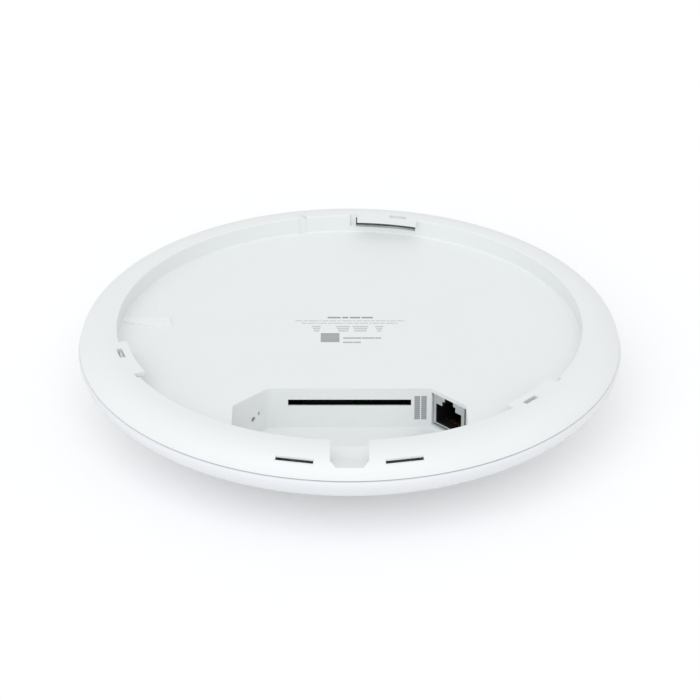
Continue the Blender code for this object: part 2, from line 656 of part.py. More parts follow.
def lead_route(angle):
    """From the plate's hole up, over in a quarter bend, and along the board to the plug."""
    x, y = polar(LEAD_FOOT_RADIUS, angle)
    end_x, end_y = polar(LEAD_PLUG_RADIUS + 1.6, angle + LEAD_TURN)
    bend = 1.6
    reach = math.hypot(end_x - x, end_y - y)
    along = ((end_x - x) / reach, (end_y - y) / reach)
    points = [(x, y, 8.3), (x, y, LEAD_Z - bend)]
    for step in range(1, 6):
        turn = math.radians(90 * step / 5)
        out = bend * (1 - math.cos(turn))
        points.append((x + along[0] * out, y + along[1] * out, LEAD_Z - bend + bend * math.sin(turn)))
    for step in range(1, 6):
        share = bend + (reach - bend) * step / 5
        points.append((x + along[0] * share, y + along[1] * share, LEAD_Z))
    return points


def antenna_leads():
    jacket = material("lead_black_jacket", BLACK_PLASTIC, 0.4)
    brass = material("plug_gold_brass", GOLD, 0.3, 1.0)
    for number, angle in enumerate(ANTENNA_ANGLES, 1):
        points = lead_route(angle)
        data = bpy.data.curves.new(f"antenna_lead_{number}", "CURVE")
        data.dimensions = "3D"
        data.bevel_depth = LEAD_RADIUS * MM
        data.bevel_resolution = 2
        data.use_fill_caps = True
        spline = data.splines.new("POLY")
        spline.points.add(len(points) - 1)
        for knot, point in zip(spline.points, points):
            knot.co = (*[value * MM for value in point], 1.0)
        data.materials.append(jacket)
        lead = bpy.data.objects.new(f"antenna_lead_{number}", data)
        bpy.context.scene.collection.objects.link(lead)
        spot = polar(LEAD_PLUG_RADIUS, angle + LEAD_TURN)
        rod(f"antenna_plug_{number}", 1.2, 10.1, BOARD_Z[0] - CLEAR, spot, brass, steps=12)


def status_light():
    clear = material("lens_diffusing_polycarbonate", (0.8, 0.82, 0.84), 0.3)
    outline = [(0.0, 0.2), (LENS_HOLE_RADIUS - CLEAR, 0.2), (LENS_HOLE_RADIUS - CLEAR, 2.3), (6.0, 2.3),
               (6.0, 3.2), (2.5, 3.2), (2.5, 6.0), (0.0, 6.0)]
    turned("status_lens", outline, clear, steps=32)
    green = material("light_board_white_laminate", (0.75, 0.76, 0.74), 0.5)
    rod("status_light_board", 9.0, 7.5, PLATE_Z[0] - CLEAR, mat=green, steps=32)
    yellow = material("light_emitter", (0.8, 0.75, 0.5), 0.4)
    block("status_light_emitter", (3.0, 3.0, 0.8), (0.0, 0.0, 6.75), yellow)
    amber = material("ribbon_polyimide", (0.5, 0.25, 0.05), 0.4)
    block("status_light_ribbon", (0.3, 6.0, 2.6), (5.5, 0.0, 10.1), amber)


def screw_mesh(name, steel):
    """A pan-head screw, head down at z = 0 and its shank up, with a driver recess."""
    head_radius, head = SCREW_HEAD
    outline = [(0.0, 0.6), (1.0, 0.6), (1.0, 0.0), (head_radius, 0.0), (head_radius, head),
               (SCREW_RADIUS, head), (SCREW_RADIUS, head + SCREW_LENGTH), (0.0, head + SCREW_LENGTH)]
    return turned(name, outline, steel, steps=10)


def screws():
    steel = material("screw_zinc_steel", STEEL, 0.35, 1.0)
    head_z = BOARD_Z[0] - CLEAR - SCREW_HEAD[1]
    first = place(screw_mesh("board_screw_1", steel), (*BOSS_PLACES[0], head_z))
    for number, spot in enumerate(BOSS_PLACES[1:], 2):
        copy_of(first, f"board_screw_{number}", (*spot, head_z))
    for number, spot in enumerate(PILLAR_PLACES, 1):
        copy_of(first, f"spreader_screw_{number}", (*spot, head_z))
    plate_steel = material("plate_screw_zinc_steel", STEEL, 0.35, 1.0)
    for number, angle in enumerate(POST_ANGLES, 1):
        screw = turned(f"plate_screw_{number}", PLATE_SCREW_OUTLINE, plate_steel, steps=10)
        place(screw, (*polar(POST_RADIUS, angle), 0.0))


def copy_of(source, name, spot):
    twin = bpy.data.objects.new(name, source.data)
    bpy.context.scene.collection.objects.link(twin)
    return place(twin, spot)


clear_scene()
front_cover()
back_cover()
lan_jack()
reset_switch()
main_board()
board_parts()
shield_cans()
thermal_pads()
heat_spreader()
antenna_plate()
antennas()
antenna_leads()
status_light()
screws()
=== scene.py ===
# %% [markdown]
# # A ceiling access point, seen from its mounting side
# The object is a white plastic disc with a shallow dome towards the floor of the room. Its back has
# a raised ring round a recess for a ceiling bracket, and a sunken bay for the network cable. The CAD
# frame already holds every piece in its real place. This lesson gives the pieces that show their fine
# shape, and gives every piece the finish of the material that it is made of.

# %% Load the frame
import json
import math

import bmesh
import bpy
from mathutils import Matrix, Vector

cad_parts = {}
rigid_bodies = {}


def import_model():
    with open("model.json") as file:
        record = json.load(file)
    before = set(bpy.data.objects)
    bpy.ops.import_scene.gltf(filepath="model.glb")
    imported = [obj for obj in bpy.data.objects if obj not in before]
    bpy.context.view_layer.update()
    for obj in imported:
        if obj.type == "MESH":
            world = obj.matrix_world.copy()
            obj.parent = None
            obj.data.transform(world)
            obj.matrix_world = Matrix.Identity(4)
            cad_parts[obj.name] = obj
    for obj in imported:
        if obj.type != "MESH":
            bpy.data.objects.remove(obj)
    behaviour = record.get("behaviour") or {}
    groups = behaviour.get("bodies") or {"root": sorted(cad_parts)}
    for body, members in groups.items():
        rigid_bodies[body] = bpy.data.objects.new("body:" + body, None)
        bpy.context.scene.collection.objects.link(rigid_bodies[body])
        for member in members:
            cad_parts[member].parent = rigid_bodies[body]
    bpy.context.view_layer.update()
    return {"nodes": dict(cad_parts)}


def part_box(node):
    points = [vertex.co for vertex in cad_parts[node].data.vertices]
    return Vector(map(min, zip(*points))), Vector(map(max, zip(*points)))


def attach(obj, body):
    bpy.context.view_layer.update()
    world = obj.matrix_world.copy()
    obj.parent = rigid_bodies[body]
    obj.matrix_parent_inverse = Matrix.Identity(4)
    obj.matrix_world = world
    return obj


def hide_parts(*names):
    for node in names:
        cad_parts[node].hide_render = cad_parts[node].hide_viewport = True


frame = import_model()
nodes = frame["nodes"]

# %% [markdown]
# ## Sizes
# The lesson works in millimetres and turns them to metres where a vertex is made. The outer sizes are
# read from the frame. The others are the maker's own sizes for the two covers, and they are the same
# as in the CAD model, because the fine covers stand in the place of the plain ones.

# %% Main sizes, in millimetres
MM = 0.001


def box_mm(name):
    low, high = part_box(name)
    return low / MM, high / MM


back_low, back_high = box_mm("back_cover")
RADIUS = box_mm("front_cover")[1].x
TOP = back_high.z
SEAM = TOP - 8.0      # where the two covers meet
RECESS = TOP - 7.0    # the floor that the bracket lies on
WALL = 2.0
BAY_WALL = 1.6
BAY_FLOOR = back_low.z + BAY_WALL
RING_INNER = 84.2
RING_CREST = 87.0
ROUND_STEPS = 240
print(f"radius {RADIUS:.1f}, height {TOP:.1f}, recess floor at {RECESS:.1f}")

# %% [markdown]
# ## Small tools for shapes
# Nearly every piece is either turned round the upright axis, like a bowl, or cut from a flat outline.
# Two helpers make those shapes with bmesh operators: spin sweeps a profile round an axis, and extrude
# pulls a flat face up. A third helper joins or cuts shapes with Booleans and keeps only the result.

# %% Points of arcs and circles
def polar(radius, angle):
    turn = math.radians(angle)
    return (radius * math.cos(turn), radius * math.sin(turn))


def arc(radius, start, end, steps, rise=None, centre=(0.0, 0.0)):
    rise = radius if rise is None else rise
    turns = [math.radians(start + (end - start) * step / steps) for step in range(steps + 1)]
    return [(centre[0] + radius * math.cos(turn), centre[1] + rise * math.sin(turn)) for turn in turns]


print("points in a quarter circle of 6 steps:", len(arc(1.0, 0, 90, 6)))

# %% Turned shapes and flat outlines
def turned(outline, steps=ROUND_STEPS):
    shape = bmesh.new()
    points = [shape.verts.new((radius * MM, 0, height * MM)) for radius, height in outline]
    for start, end in zip(points, points[1:] + points[:1]):
        if start.co.x > 0 or end.co.x > 0:
            shape.edges.new((start, end))
    bmesh.ops.spin(shape, geom=shape.verts[:] + shape.edges[:], cent=(0, 0, 0), axis=(0, 0, 1),
                   angle=math.tau, steps=steps, use_merge=True, use_duplicate=False)
    return closed(shape)


def closed(shape):
    bmesh.ops.remove_doubles(shape, verts=shape.verts, dist=1e-6)
    bmesh.ops.recalc_face_normals(shape, faces=shape.faces)
    return shape


def pulled(outline, low, high):
    """A flat outline pulled up from one height to another."""
    shape = bmesh.new()
    face = shape.faces.new([shape.verts.new((x * MM, y * MM, low * MM)) for x, y in outline])
    grown = bmesh.ops.extrude_face_region(shape, geom=[face], use_keep_orig=True)
    lifted = [item for item in grown["geom"] if isinstance(item, bmesh.types.BMVert)]
    bmesh.ops.translate(shape, verts=lifted, vec=(0, 0, (high - low) * MM))
    return closed(shape)


print("a turned tube has", len(turned([(1, 0), (2, 0), (2, 1), (1, 1)], steps=8).faces), "faces")


# %% Boxes, and moving shapes to their place
def on_side(shape):
    """Turn a shape that was pulled up, so that its outline stands in (y, z) and its length is along X."""
    shape.transform(Matrix(((0, 0, 1, 0), (1, 0, 0, 0), (0, 1, 0, 0), (0, 0, 0, 1))))
    return closed(shape)


def shift(point):
    return Matrix.Translation([value * MM for value in point])


def spin_by(angle, axis="Z"):
    return Matrix.Rotation(math.radians(angle), 4, axis)


def joined(shapes):
    """Several closed shapes in one bmesh, which stay separate islands."""
    whole = bmesh.new()
    for shape in shapes:
        part = bpy.data.meshes.new("part")
        shape.to_mesh(part)
        shape.free()
        whole.from_mesh(part)
        bpy.data.meshes.remove(part)
    return whole


def box_shape(size, centre, turn=0.0, rounding=0.0, segments=2):
    shape = bmesh.new()
    bmesh.ops.create_cube(shape, size=1)
    bmesh.ops.scale(shape, verts=shape.verts, vec=[value * MM for value in size])
    if rounding:
        bmesh.ops.bevel(shape, geom=shape.edges[:], offset=rounding * MM, offset_type="OFFSET",
                        segments=segments, profile=0.5, affect="EDGES", material=-1)
    shape.transform(shift(centre) @ spin_by(turn))
    return shape


print("a box has", len(box_shape((1, 1, 1), (0, 0, 0)).faces), "faces")


# %% Make an object
def make_piece(name, shape, material=None, sharp=32):
    mesh = bpy.data.meshes.new(name)
    shape.to_mesh(mesh)
    shape.free()
    mesh.shade_smooth()
    mesh.set_sharp_from_angle(angle=math.radians(sharp))
    piece = bpy.data.objects.new(name, mesh)
    bpy.context.scene.collection.objects.link(piece)
    if material:
        mesh.materials.append(material)
    return piece


def keep_result(piece):
    """Turn what the modifiers give into the piece's own mesh."""
    bpy.context.view_layer.update()
    graph = bpy.context.evaluated_depsgraph_get()
    mesh = bpy.data.meshes.new_from_object(piece.evaluated_get(graph), depsgraph=graph)
    piece.modifiers.clear()
    piece.data = mesh
    return piece


print("make_piece and keep_result ready")


# %% Fix a piece to the frame
def stand_in(piece, node, body="housing"):
    """Put a finished piece in the place of a CAD node."""
    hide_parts(node)
    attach(piece, body)
    return piece


def add_on(piece):
    """Fix an extra piece, which stands for no CAD node, to the housing."""
    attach(piece, "housing")
    return piece


def row_of_boxes(name, boxes, material, rounding=0.0):
    """Many small boxes, each a (size, centre) pair, as one piece."""
    shape = joined([box_shape(size, centre, rounding=rounding) for size, centre in boxes])
    return add_on(make_piece(name, shape, material))


# %% Join, cut and round
def combine(piece, operation, *shapes):
    for shape in shapes:
        tool = make_piece("tool", shape)
        step = piece.modifiers.new("combine", "BOOLEAN")
        step.operation = operation
        step.object = tool
        step.solver = "EXACT"
        keep_result(piece)
        bpy.data.objects.remove(tool)
    return piece


def soften(piece, width, segments=2, angle=38):
    """Round the sharp edges a little, as a mould or a press leaves them."""
    bevel = piece.modifiers.new("soften", "BEVEL")
    bevel.width = width * MM
    bevel.segments = segments
    bevel.limit_method = "ANGLE"
    bevel.angle_limit = math.radians(angle)
    bevel.use_clamp_overlap = True
    bevel.miter_outer = "MITER_ARC"
    weigh = piece.modifiers.new("weigh", "WEIGHTED_NORMAL")
    weigh.keep_sharp = True
    return keep_result(piece)


print("combine and soften ready")

# %% [markdown]
# ## Small tools for materials
# Colours are written as sRGB hex values, as a colour chart gives them, and one function turns them to
# the linear values that the shader needs. One function adds a node with its settings and its links.

# %% Colours and nodes
def linear(code):
    channels = [int(code[place:place + 2], 16) / 255 for place in (1, 3, 5)]
    curve = [value / 12.92 if value <= 0.04045 else ((value + 0.055) / 1.055) ** 2.4 for value in channels]
    return (*curve, 1.0)


def add_node(tree, kind, links=None, values=None, **settings):
    item = tree.nodes.new(kind)
    for name, value in settings.items():
        setattr(item, name, value)
    for socket, value in (values or {}).items():
        item.inputs[socket].default_value = value
    for socket, source in (links or {}).items():
        tree.links.new(source, item.inputs[socket])
    return item


def start_material(name, **values):
    """A Principled material with uniform values set on the shader's own sockets."""
    material = bpy.data.materials.new(name)
    material.use_nodes = True
    tree = material.node_tree
    shader = tree.nodes["Principled BSDF"]
    for socket, value in values.items():
        shader.inputs[socket.replace("_", " ")].default_value = value
    place = add_node(tree, "ShaderNodeTexCoord").outputs["Object"]
    return material, tree, shader, place


def to_shader(tree, shader, **sources):
    for socket, source in sources.items():
        tree.links.new(source, shader.inputs[socket.replace("_", " ")])


def per_mm(size):
    """The scale of a texture on coordinates in metres, for a pattern of that size in millimetres."""
    return 1.0 / (size * MM)


print("a 0.45 mm grain has the scale", round(per_mm(0.45)))

# %% [markdown]
# ## Moulded white plastic
# The covers are a polycarbonate blend, injection moulded. The mould is spark eroded, which leaves a
# satin grain about a third of a millimetre wide. So the surface is matt, with a soft wide highlight
# and no clear reflection. The recess floor is eroded more coarsely than the ring that people see, so
# it is a little duller. Two noises are enough: a fine one for the grain, and a broad faint one for the
# flow of the plastic. The real grain is too fine to show in the render, so it is drawn a little coarser.
# The dome is moulded from the same plastic, but in a smoother mould, so it looks a little glossier. Its colours
# are set a little darker and bluer than the back cover's. That is painted shade, for the dome's band under the
# seam, which faces the floor.

# %% White plastic for the two covers
GRAIN = 0.45   # width of the drawn grain, in millimetres
FLOW = 28.0    # width of the faint patches, in millimetres


def moulded_plastic(name, bright, dull, roughness, grain_depth):
    material, tree, shader, place = start_material(name, IOR=1.58, Specular_IOR_Level=0.42)
    height = add_node(tree, "ShaderNodeSeparateXYZ", {"Vector": place}).outputs["Z"]
    raised = add_node(tree, "ShaderNodeMapRange", {"Value": height},
                      {"From Min": (RECESS + 0.1) * MM, "From Max": (RECESS + 1.0) * MM,
                       "To Min": 0.55, "To Max": 0.25})
    grain = add_node(tree, "ShaderNodeTexNoise", {"Vector": place},
                     {"Scale": per_mm(GRAIN), "Detail": 3.0, "Roughness": 0.6})
    flow = add_node(tree, "ShaderNodeTexNoise", {"Vector": place},
                    {"Scale": per_mm(FLOW), "Detail": 2.0, "Roughness": 0.5})
    tint = add_node(tree, "ShaderNodeMix", {"Factor": flow.outputs["Fac"]},
                    {"A": linear(dull), "B": linear(bright)}, data_type="RGBA")
    satin = add_node(tree, "ShaderNodeMapRange", {"Value": grain.outputs["Fac"]},
                     {"From Min": 0.3, "From Max": 0.7,
                      "To Min": roughness - 0.05, "To Max": roughness + 0.07})
    bump = add_node(tree, "ShaderNodeBump",
                    {"Height": grain.outputs["Fac"], "Strength": raised.outputs["Result"]},
                    {"Distance": grain_depth * MM})
    to_shader(tree, shader, Base_Color=tint.outputs["Result"], Roughness=satin.outputs["Result"],
              Normal=bump.outputs["Normal"])
    return material


back_plastic = moulded_plastic("polycarbonate_white_spark_eroded", "#EBEDEC", "#E8EBEA", 0.46, 0.02)
# The front cover's darker, bluer colours are painted shade for the dome's band under the seam.
front_plastic_painted_shade = moulded_plastic("polycarbonate_white_satin_painted_shade", "#E6E7E9", "#E3E5E7", 0.40, 0.012)
print("white plastics made")

# %% [markdown]
# ## The front cover
# The dome is one bowl with a 2 mm wall. Its outer curve is a quarter of an ellipse drawn out a little
# towards the middle, and a rounded lip turns in to the seam. Turning one outline round the axis gives
# the whole bowl, with an even wall and no seam or pole, because the lens hole leaves the middle open.

# %% Outline of the dome
LIP = SEAM - 1.1
DOME_DEPTH = LIP + 0.2
DOME_POWER = 1.85
LENS_HOLE = 4.3
RIM = RADIUS - 2.1


def dome_curve(radius, depth, highest, lowest, steps):
    start = math.asin(((LIP - highest) / depth) ** (DOME_POWER / 2))
    end = math.asin(((LIP - lowest) / depth) ** (DOME_POWER / 2))
    turns = [start + (end - start) * step / steps for step in range(steps + 1)]
    return [(radius * math.cos(turn) ** (2 / DOME_POWER), LIP - depth * math.sin(turn) ** (2 / DOME_POWER))
            for turn in turns]


def front_outline():
    top = SEAM - 0.15
    lip = arc(0.8, 90, 0, 6, rise=top - LIP, centre=(RADIUS - 0.8, LIP))[:-1]
    outside = dome_curve(RADIUS, DOME_DEPTH, LIP, 0.0, 40)
    hole = [(LENS_HOLE + 0.25, 0.0), (LENS_HOLE, 0.25), (LENS_HOLE, WALL)]
    inside = dome_curve(RIM, DOME_DEPTH - WALL, SEAM - 3.0, WALL, 24)[::-1]
    groove = [(RIM, SEAM - 2.6), (RIM + 0.3, SEAM - 2.4), (RIM + 0.3, SEAM - 1.2), (RIM, SEAM - 1.0)]
    return lip + outside + hole + inside + groove + [(RIM, top)]


front_cover = make_piece("front_cover_dome", turned(front_outline()), front_plastic_painted_shade, sharp=40)
print("front cover:", len(front_cover.data.polygons), "faces")

# %% [markdown]
# ## The back cover: its turned body
# The raised ring, the recess and the skirt that snaps into the dome are all round, so they are one
# turned outline as well. The corner between the wall and the recess floor has a small fillet, as every
# moulded corner has, and the ring's inner edge is rounded. A loop just inside the fillet keeps the
# shading of the wide flat floor even.

# %% Outline of the back cover
SLOPE_WIDTH = 11.0
SKIRT_OUTER = 95.8
SKIRT_INNER = 94.2
SKIRT_BOTTOM = SEAM - 2.6
FILLET = 0.7
EDGE = 0.45


def back_outline():
    centre = (RING_CREST, SEAM)
    under = SEAM + 0.25
    foot = math.degrees(math.asin((under - SEAM) / (TOP - SEAM)))
    slope = arc(SLOPE_WIDTH, 90, foot, 30, rise=TOP - SEAM, centre=centre)
    inner_start = math.degrees(math.acos((SKIRT_INNER - RING_CREST) / (SLOPE_WIDTH - WALL)))
    hollow = arc(SLOPE_WIDTH - WALL, inner_start, 90, 8, rise=TOP - SEAM - WALL, centre=centre)
    wall = RING_INNER + 1.8
    corner = arc(FILLET, 270, 360, 5, centre=(RING_INNER - FILLET, RECESS + FILLET))
    edge = arc(EDGE, 180, 90, 4, centre=(RING_INNER + EDGE, TOP - EDGE))
    top = [(0.0, RECESS), (RING_INNER - FILLET - 0.6, RECESS)] + corner + edge + slope
    skirt = [(SKIRT_OUTER, under), (SKIRT_OUTER, SKIRT_BOTTOM), (SKIRT_INNER, SKIRT_BOTTOM)]
    return top + skirt + hollow + [(wall, TOP - WALL), (wall, RECESS - WALL), (0.0, RECESS - WALL)]


back_cover = make_piece("back_cover_shell", turned(back_outline()), back_plastic)
print("back cover body:", len(back_cover.data.polygons), "faces")

# %% [markdown]
# ## The cable bay
# The bay is a tub sunk from the recess floor. Its back wall is straight, two slanted walls carry the
# jack and the reset hole, and the near wall slopes up under the ring. A tub is easiest as two closed
# shapes with the same plan, one a wall's thickness larger: the large one is joined on and the small
# one is cut out. Each is a flat outline pulled up, and then its near edge is moved for the slope.

# %% The plan of the bay, and its two shapes
BAY_BACK = -38.2
BAY_HALF = 28.8
BAY_CHAMFER = 11.8
BAY_ROUND = 4.0
BAY_FOOT_RADIUS = 67.0
BAY_TOP_RADIUS = 77.0
BAY_SLOPE = (BAY_TOP_RADIUS - BAY_FOOT_RADIUS) / (RECESS - BAY_FLOOR)


def bay_plan(radius, grow):
    """The corner beside the reset hole is rounded. The one beside the jack is left sharp."""
    slant = grow * math.tan(math.radians(22.5))
    half = BAY_HALF + BAY_CHAMFER + grow
    side = math.degrees(math.acos(half / (radius + grow)))
    near = arc(radius + grow, 360 - side, 180 + side, 32)
    round_centre = (-BAY_HALF + BAY_ROUND * math.tan(math.radians(22.5)), BAY_BACK - BAY_ROUND)
    left = [(-half, BAY_BACK - BAY_CHAMFER + slant)] + arc(BAY_ROUND + grow, 135, 90, 6, centre=round_centre)
    right = [(BAY_HALF + slant, BAY_BACK + grow), (half, BAY_BACK - BAY_CHAMFER + slant)]
    return near + left + right


def bay_shape(grow, low, high):
    """Pulled up straight, then the upper near edge is moved out to make the slope."""
    foot = [Vector(point) * MM for point in bay_plan(BAY_FOOT_RADIUS, grow)]
    head = [Vector(point) * MM for point in bay_plan(BAY_FOOT_RADIUS + BAY_SLOPE * (high - low), grow)]
    shape = pulled(bay_plan(BAY_FOOT_RADIUS, grow), low, high)
    for vert in shape.verts:
        if vert.co.z > (low + high) / 2 * MM:
            corner = min(range(len(foot)), key=lambda spot: (foot[spot] - vert.co.xy).length)
            vert.co.xy = head[corner]
    return shape


combine(back_cover, "UNION", bay_shape(BAY_WALL, BAY_FLOOR - BAY_WALL, RECESS - 1.0))
combine(back_cover, "DIFFERENCE", bay_shape(0.0, BAY_FLOOR, RECESS + 1.0))
print("bay sunk:", len(back_cover.data.polygons), "faces")

# %% [markdown]
# ## The ventilation slot, the jack's window and the reset hole
# All three go through the bay's walls. The slot is long and thin in the back wall, which is thinned from
# behind to a skin of 0.6 mm, so the slot's edge looks sharp and its inside black. The jack's window and
# the reset hole are square to the two slanted walls, so their cutters are turned by 45 degrees. A shallow
# pocket in the underside of the recess floor makes room for the top of the jack's shell.

# %% Cut the bay's walls
VENT_HALF = 21.7
VENT_LOW = RECESS - 7.0
VENT_HIGH = RECESS - 4.5
VENT_SKIN = 0.6
JACK_TURN = 225
JACK_SHIFT = 0.4
RESET_TURN = 315
SQUARE = math.sqrt(0.5)


def behind_right(depth, height, along=0.0):
    """A point behind the middle of the right slanted wall; along moves it along the wall to the left."""
    x = BAY_HALF + BAY_CHAMFER / 2 + SQUARE * (depth - along)
    return (x, BAY_BACK - BAY_CHAMFER / 2 + SQUARE * (depth + along), height)


RESET_X = -33.8
RESET_Z = RECESS - 9.7


def behind_left(depth, height, along=0.0):
    """A point behind the left slanted wall, from the reset hole; along moves it along the wall."""
    y = BAY_BACK + RESET_X + BAY_HALF
    return (RESET_X - SQUARE * depth + SQUARE * along, y + SQUARE * depth + SQUARE * along, height)


def in_reset_hole(shape):
    """Carry a shape that stands on its own upright axis to the hole, pointing into the wall."""
    shape.transform(shift(behind_left(0.0, RESET_Z)) @ spin_by(135) @ spin_by(90, "Y"))
    return shape


def reset_bar(radius, near, far, steps=32):
    return in_reset_hole(pulled(arc(radius, 0, 360 - 360 / steps, steps - 1), near, far))


vent_middle = (VENT_LOW + VENT_HIGH) / 2
vent_height = VENT_HIGH - VENT_LOW
vent = box_shape((2 * VENT_HALF, 4.0, vent_height), (0, BAY_BACK + BAY_WALL / 2, vent_middle))
relief = box_shape((2 * VENT_HALF + 2, BAY_WALL, vent_height + 2),
                   (0, BAY_BACK + VENT_SKIN + BAY_WALL / 2, vent_middle))
window = box_shape((4.0, 16.4, 13.3), behind_right(BAY_WALL / 2, RECESS - 8.15), JACK_TURN)
roof = box_shape((22.0, 16.0, 2.0), behind_right(11.3, RECESS - 2.0, JACK_SHIFT), JACK_TURN)
combine(back_cover, "DIFFERENCE", relief, vent, roof, window, reset_bar(1.0, -1.0, BAY_WALL + 0.5))
print("bay walls cut")

# %% [markdown]
# ## The bayonet tabs
# Three tabs reach in from the ring. The bracket's hooks slide under them as the unit is turned, and a
# notch at the end of each is its stop. Behind each tab the wall is open, which is how the mould forms
# the gap under it, and a small window above lets the mould shut off. The three are alike, so a loop
# makes them at 120 degrees.

# %% Cut and add the tabs
TAB_ANGLES = (77.2, 197.2, 317.2)
TAB_LOW = TOP - 1.6
TAB_SLOT = TAB_LOW - 3.2    # how far down the wall behind the tab is open
TAB_INNER = 81.2
TAB_START, TAB_END = -5.6, 10.8
STOP_END = 12.7


def ring_sector(inner, outer, start, end, low, high, steps=16):
    return pulled(arc(inner, start, end, steps) + arc(outer, end, start, steps), low, high)


for angle in TAB_ANGLES:
    start, end = angle + TAB_START, angle + TAB_END
    gap = ring_sector(RING_INNER - 0.6, RING_INNER + 2.4, start + 0.7, end + 0.3, TAB_SLOT, TAB_LOW + 0.3)
    tab = ring_sector(TAB_INNER, RING_INNER + 1.0, start, end, TAB_LOW, TOP - 0.05)
    stop = ring_sector(TAB_INNER - 1.0, 85.4, end - 0.1, angle + STOP_END, TAB_SLOT + 0.4, TOP + 1.0, steps=2)
    shut_off = box_shape((2.0, 6.5, 4.0), (*polar(84.9, angle), TOP - 0.5), angle)
    combine(back_cover, "DIFFERENCE", gap)
    combine(back_cover, "UNION", tab)
    combine(back_cover, "DIFFERENCE", stop, shut_off)
print("tabs made:", len(back_cover.data.polygons), "faces")

# %% [markdown]
# ## The cable notch and the latch slots
# The cable leaves through a notch in the near part of the ring. Its floor is a ramp that rises to the
# outside, and its outer corners are cut off at a slant. The hollow ring is filled in under it first.
# Two slots beside it are where the covers' latches are released. Each has a ledge outside and opens
# into the hollow ring inside, so it looks black.

# %% Fill, ramp and slots
NOTCH_HALF = 7.5
FILL_HALF = 8.2
SLOT_HALF = 6.5
SLOT_ANGLES = (258.8, 281.2)
ABOVE = 40.0    # a height above everything, for the top of a cutter


def across(outline, half_width):
    """An outline drawn in (y, z), pulled out along X."""
    return on_side(pulled(outline, -half_width, half_width))


under_ramp = [(-85.4, 26.4), (-95.0, 26.4), (-95.0, 27.6), (-95.6, 27.6), (-95.6, 29.4), (-93.5, 31.9),
              (-90.5, 33.6), (-85.4, 34.0)]
ramp_low, ramp_high, ramp_end = RECESS + 0.1, RECESS + 3.4, -96.3
ramp_foot = -RING_INNER - 0.3
steep = (ramp_high - ramp_low) / (ramp_foot - ramp_end)
ramp = [(-80.0, ramp_low), (ramp_foot, ramp_low), (-99.5, ramp_high + steep * (99.5 + ramp_end)),
        (-99.5, ABOVE), (-80.0, ABOVE)]
notch = make_piece("notch", across(ramp, NOTCH_HALF))
right_side = [(4.4, ramp_end - 0.1), (6.5, -94.2), (6.5, -79.0)]
combine(notch, "INTERSECT", pulled(right_side + [(-x, y) for x, y in right_side[::-1]], 20.0, 45.0))
notch_shape = bmesh.new()
notch_shape.from_mesh(notch.data)
bpy.data.objects.remove(notch)
combine(back_cover, "UNION", across(under_ramp, FILL_HALF))
combine(back_cover, "DIFFERENCE", notch_shape)
slot_outline = [(94.0, ABOVE), (95.8, ABOVE), (95.8, 31.85), (95.1, 31.95), (95.1, 29.6), (91.0, 29.6),
                (91.0, 33.5), (94.0, 32.3)]
for angle in SLOT_ANGLES:
    slot = across(slot_outline, SLOT_HALF)
    slot.transform(spin_by(angle - 90))
    combine(back_cover, "DIFFERENCE", slot)
print("notch and slots cut")

# %% [markdown]
# ## Marks in the mould
# A shallow groove crosses the ring on the far side, to line the unit up with its bracket. On the recess
# floor are a low wedge, which the bracket's stop rides up, and a small pip above it.

# %% Groove, wedge and pip
GROOVE_ANGLE = 102.6
WEDGE_FAR = 12.6
WEDGE_FALL = 0.1    # how steeply the wedge's top falls towards its near edge
groove_top = box_shape((9.0, 3.0, 2.0), (*polar(RING_INNER + 3.0, GROOVE_ANGLE), TOP + 0.65), GROOVE_ANGLE)
groove_wall = box_shape((2.0, 3.0, 10.0), (*polar(RING_INNER - 0.65, GROOVE_ANGLE), RECESS + 5.2),
                        GROOVE_ANGLE)
wedge_plan = [(-84.8, WEDGE_FAR), (-66.3, WEDGE_FAR), (-64.8, 5.0), (-84.6, 10.2)]
wedge = pulled(wedge_plan, RECESS - 1.0, RECESS + 0.9)
for vert in wedge.verts:
    if vert.co.z > RECESS * MM:
        vert.co.z -= WEDGE_FALL * (WEDGE_FAR * MM - vert.co.y)
pip = box_shape((2.4, 1.0, 1.5), (-73.3, 19.0, RECESS - 0.25))
combine(back_cover, "DIFFERENCE", groove_top, groove_wall)
combine(back_cover, "UNION", wedge, pip)
soften(back_cover, 0.16)
print("back cover done:", len(back_cover.data.polygons), "faces")

# %% Put the two covers in the place of the plain ones
stand_in(front_cover, "front_cover")
stand_in(back_cover, "back_cover")
print("covers in place")

# %% [markdown]
# ## The network jack
# The jack's shell is tinned steel sheet, folded into a box round a black nylon socket. Its mouth has the
# stepped keyway for the plug's latch. The shell could be folded up from a flat sheet, but a box with the
# room inside cut out gives the same walls in one step. The mouth is cut next, and then a small bevel
# rounds every fold. The sheet's spring tongues can't be seen from outside, so they are left out.

# %% Where the jack sits, and its mouth
JACK_LOW = box_mm("lan_jack_shield")[0].z
JACK_HEIGHT = 12.5
JACK_HALF = 7.5
JACK_LENGTH = 21.0
SETBACK = 0.5    # how far the shell's face lies behind the wall's face
SHEET = 0.4
MOUTH_HALF = ((6.0, 0.8), (6.0, 8.4), (3.1, 8.4), (3.1, 10.3), (2.0, 10.3), (2.0, 11.9))


def jack_box(near, far, half, low, high, rounding=0.0):
    spot = behind_right(SETBACK + (near + far) / 2, JACK_LOW + (low + high) / 2, JACK_SHIFT)
    return box_shape((far - near, 2 * half, high - low), spot, JACK_TURN, rounding)


def in_jack(shape):
    """Carry a shape from the jack's own frame, mouth at x = 0 and floor at z = 0, to its place."""
    shape.transform(shift(behind_right(SETBACK, JACK_LOW, JACK_SHIFT)) @ spin_by(JACK_TURN))
    return shape


def mouth(back):
    outline = [*MOUTH_HALF] + [(-y, z) for y, z in MOUTH_HALF[::-1]]
    return in_jack(on_side(pulled(outline, back, 1.0)))


print(f"jack: {JACK_LENGTH} mm long, {2 * JACK_HALF} mm wide, {JACK_HEIGHT} mm high")

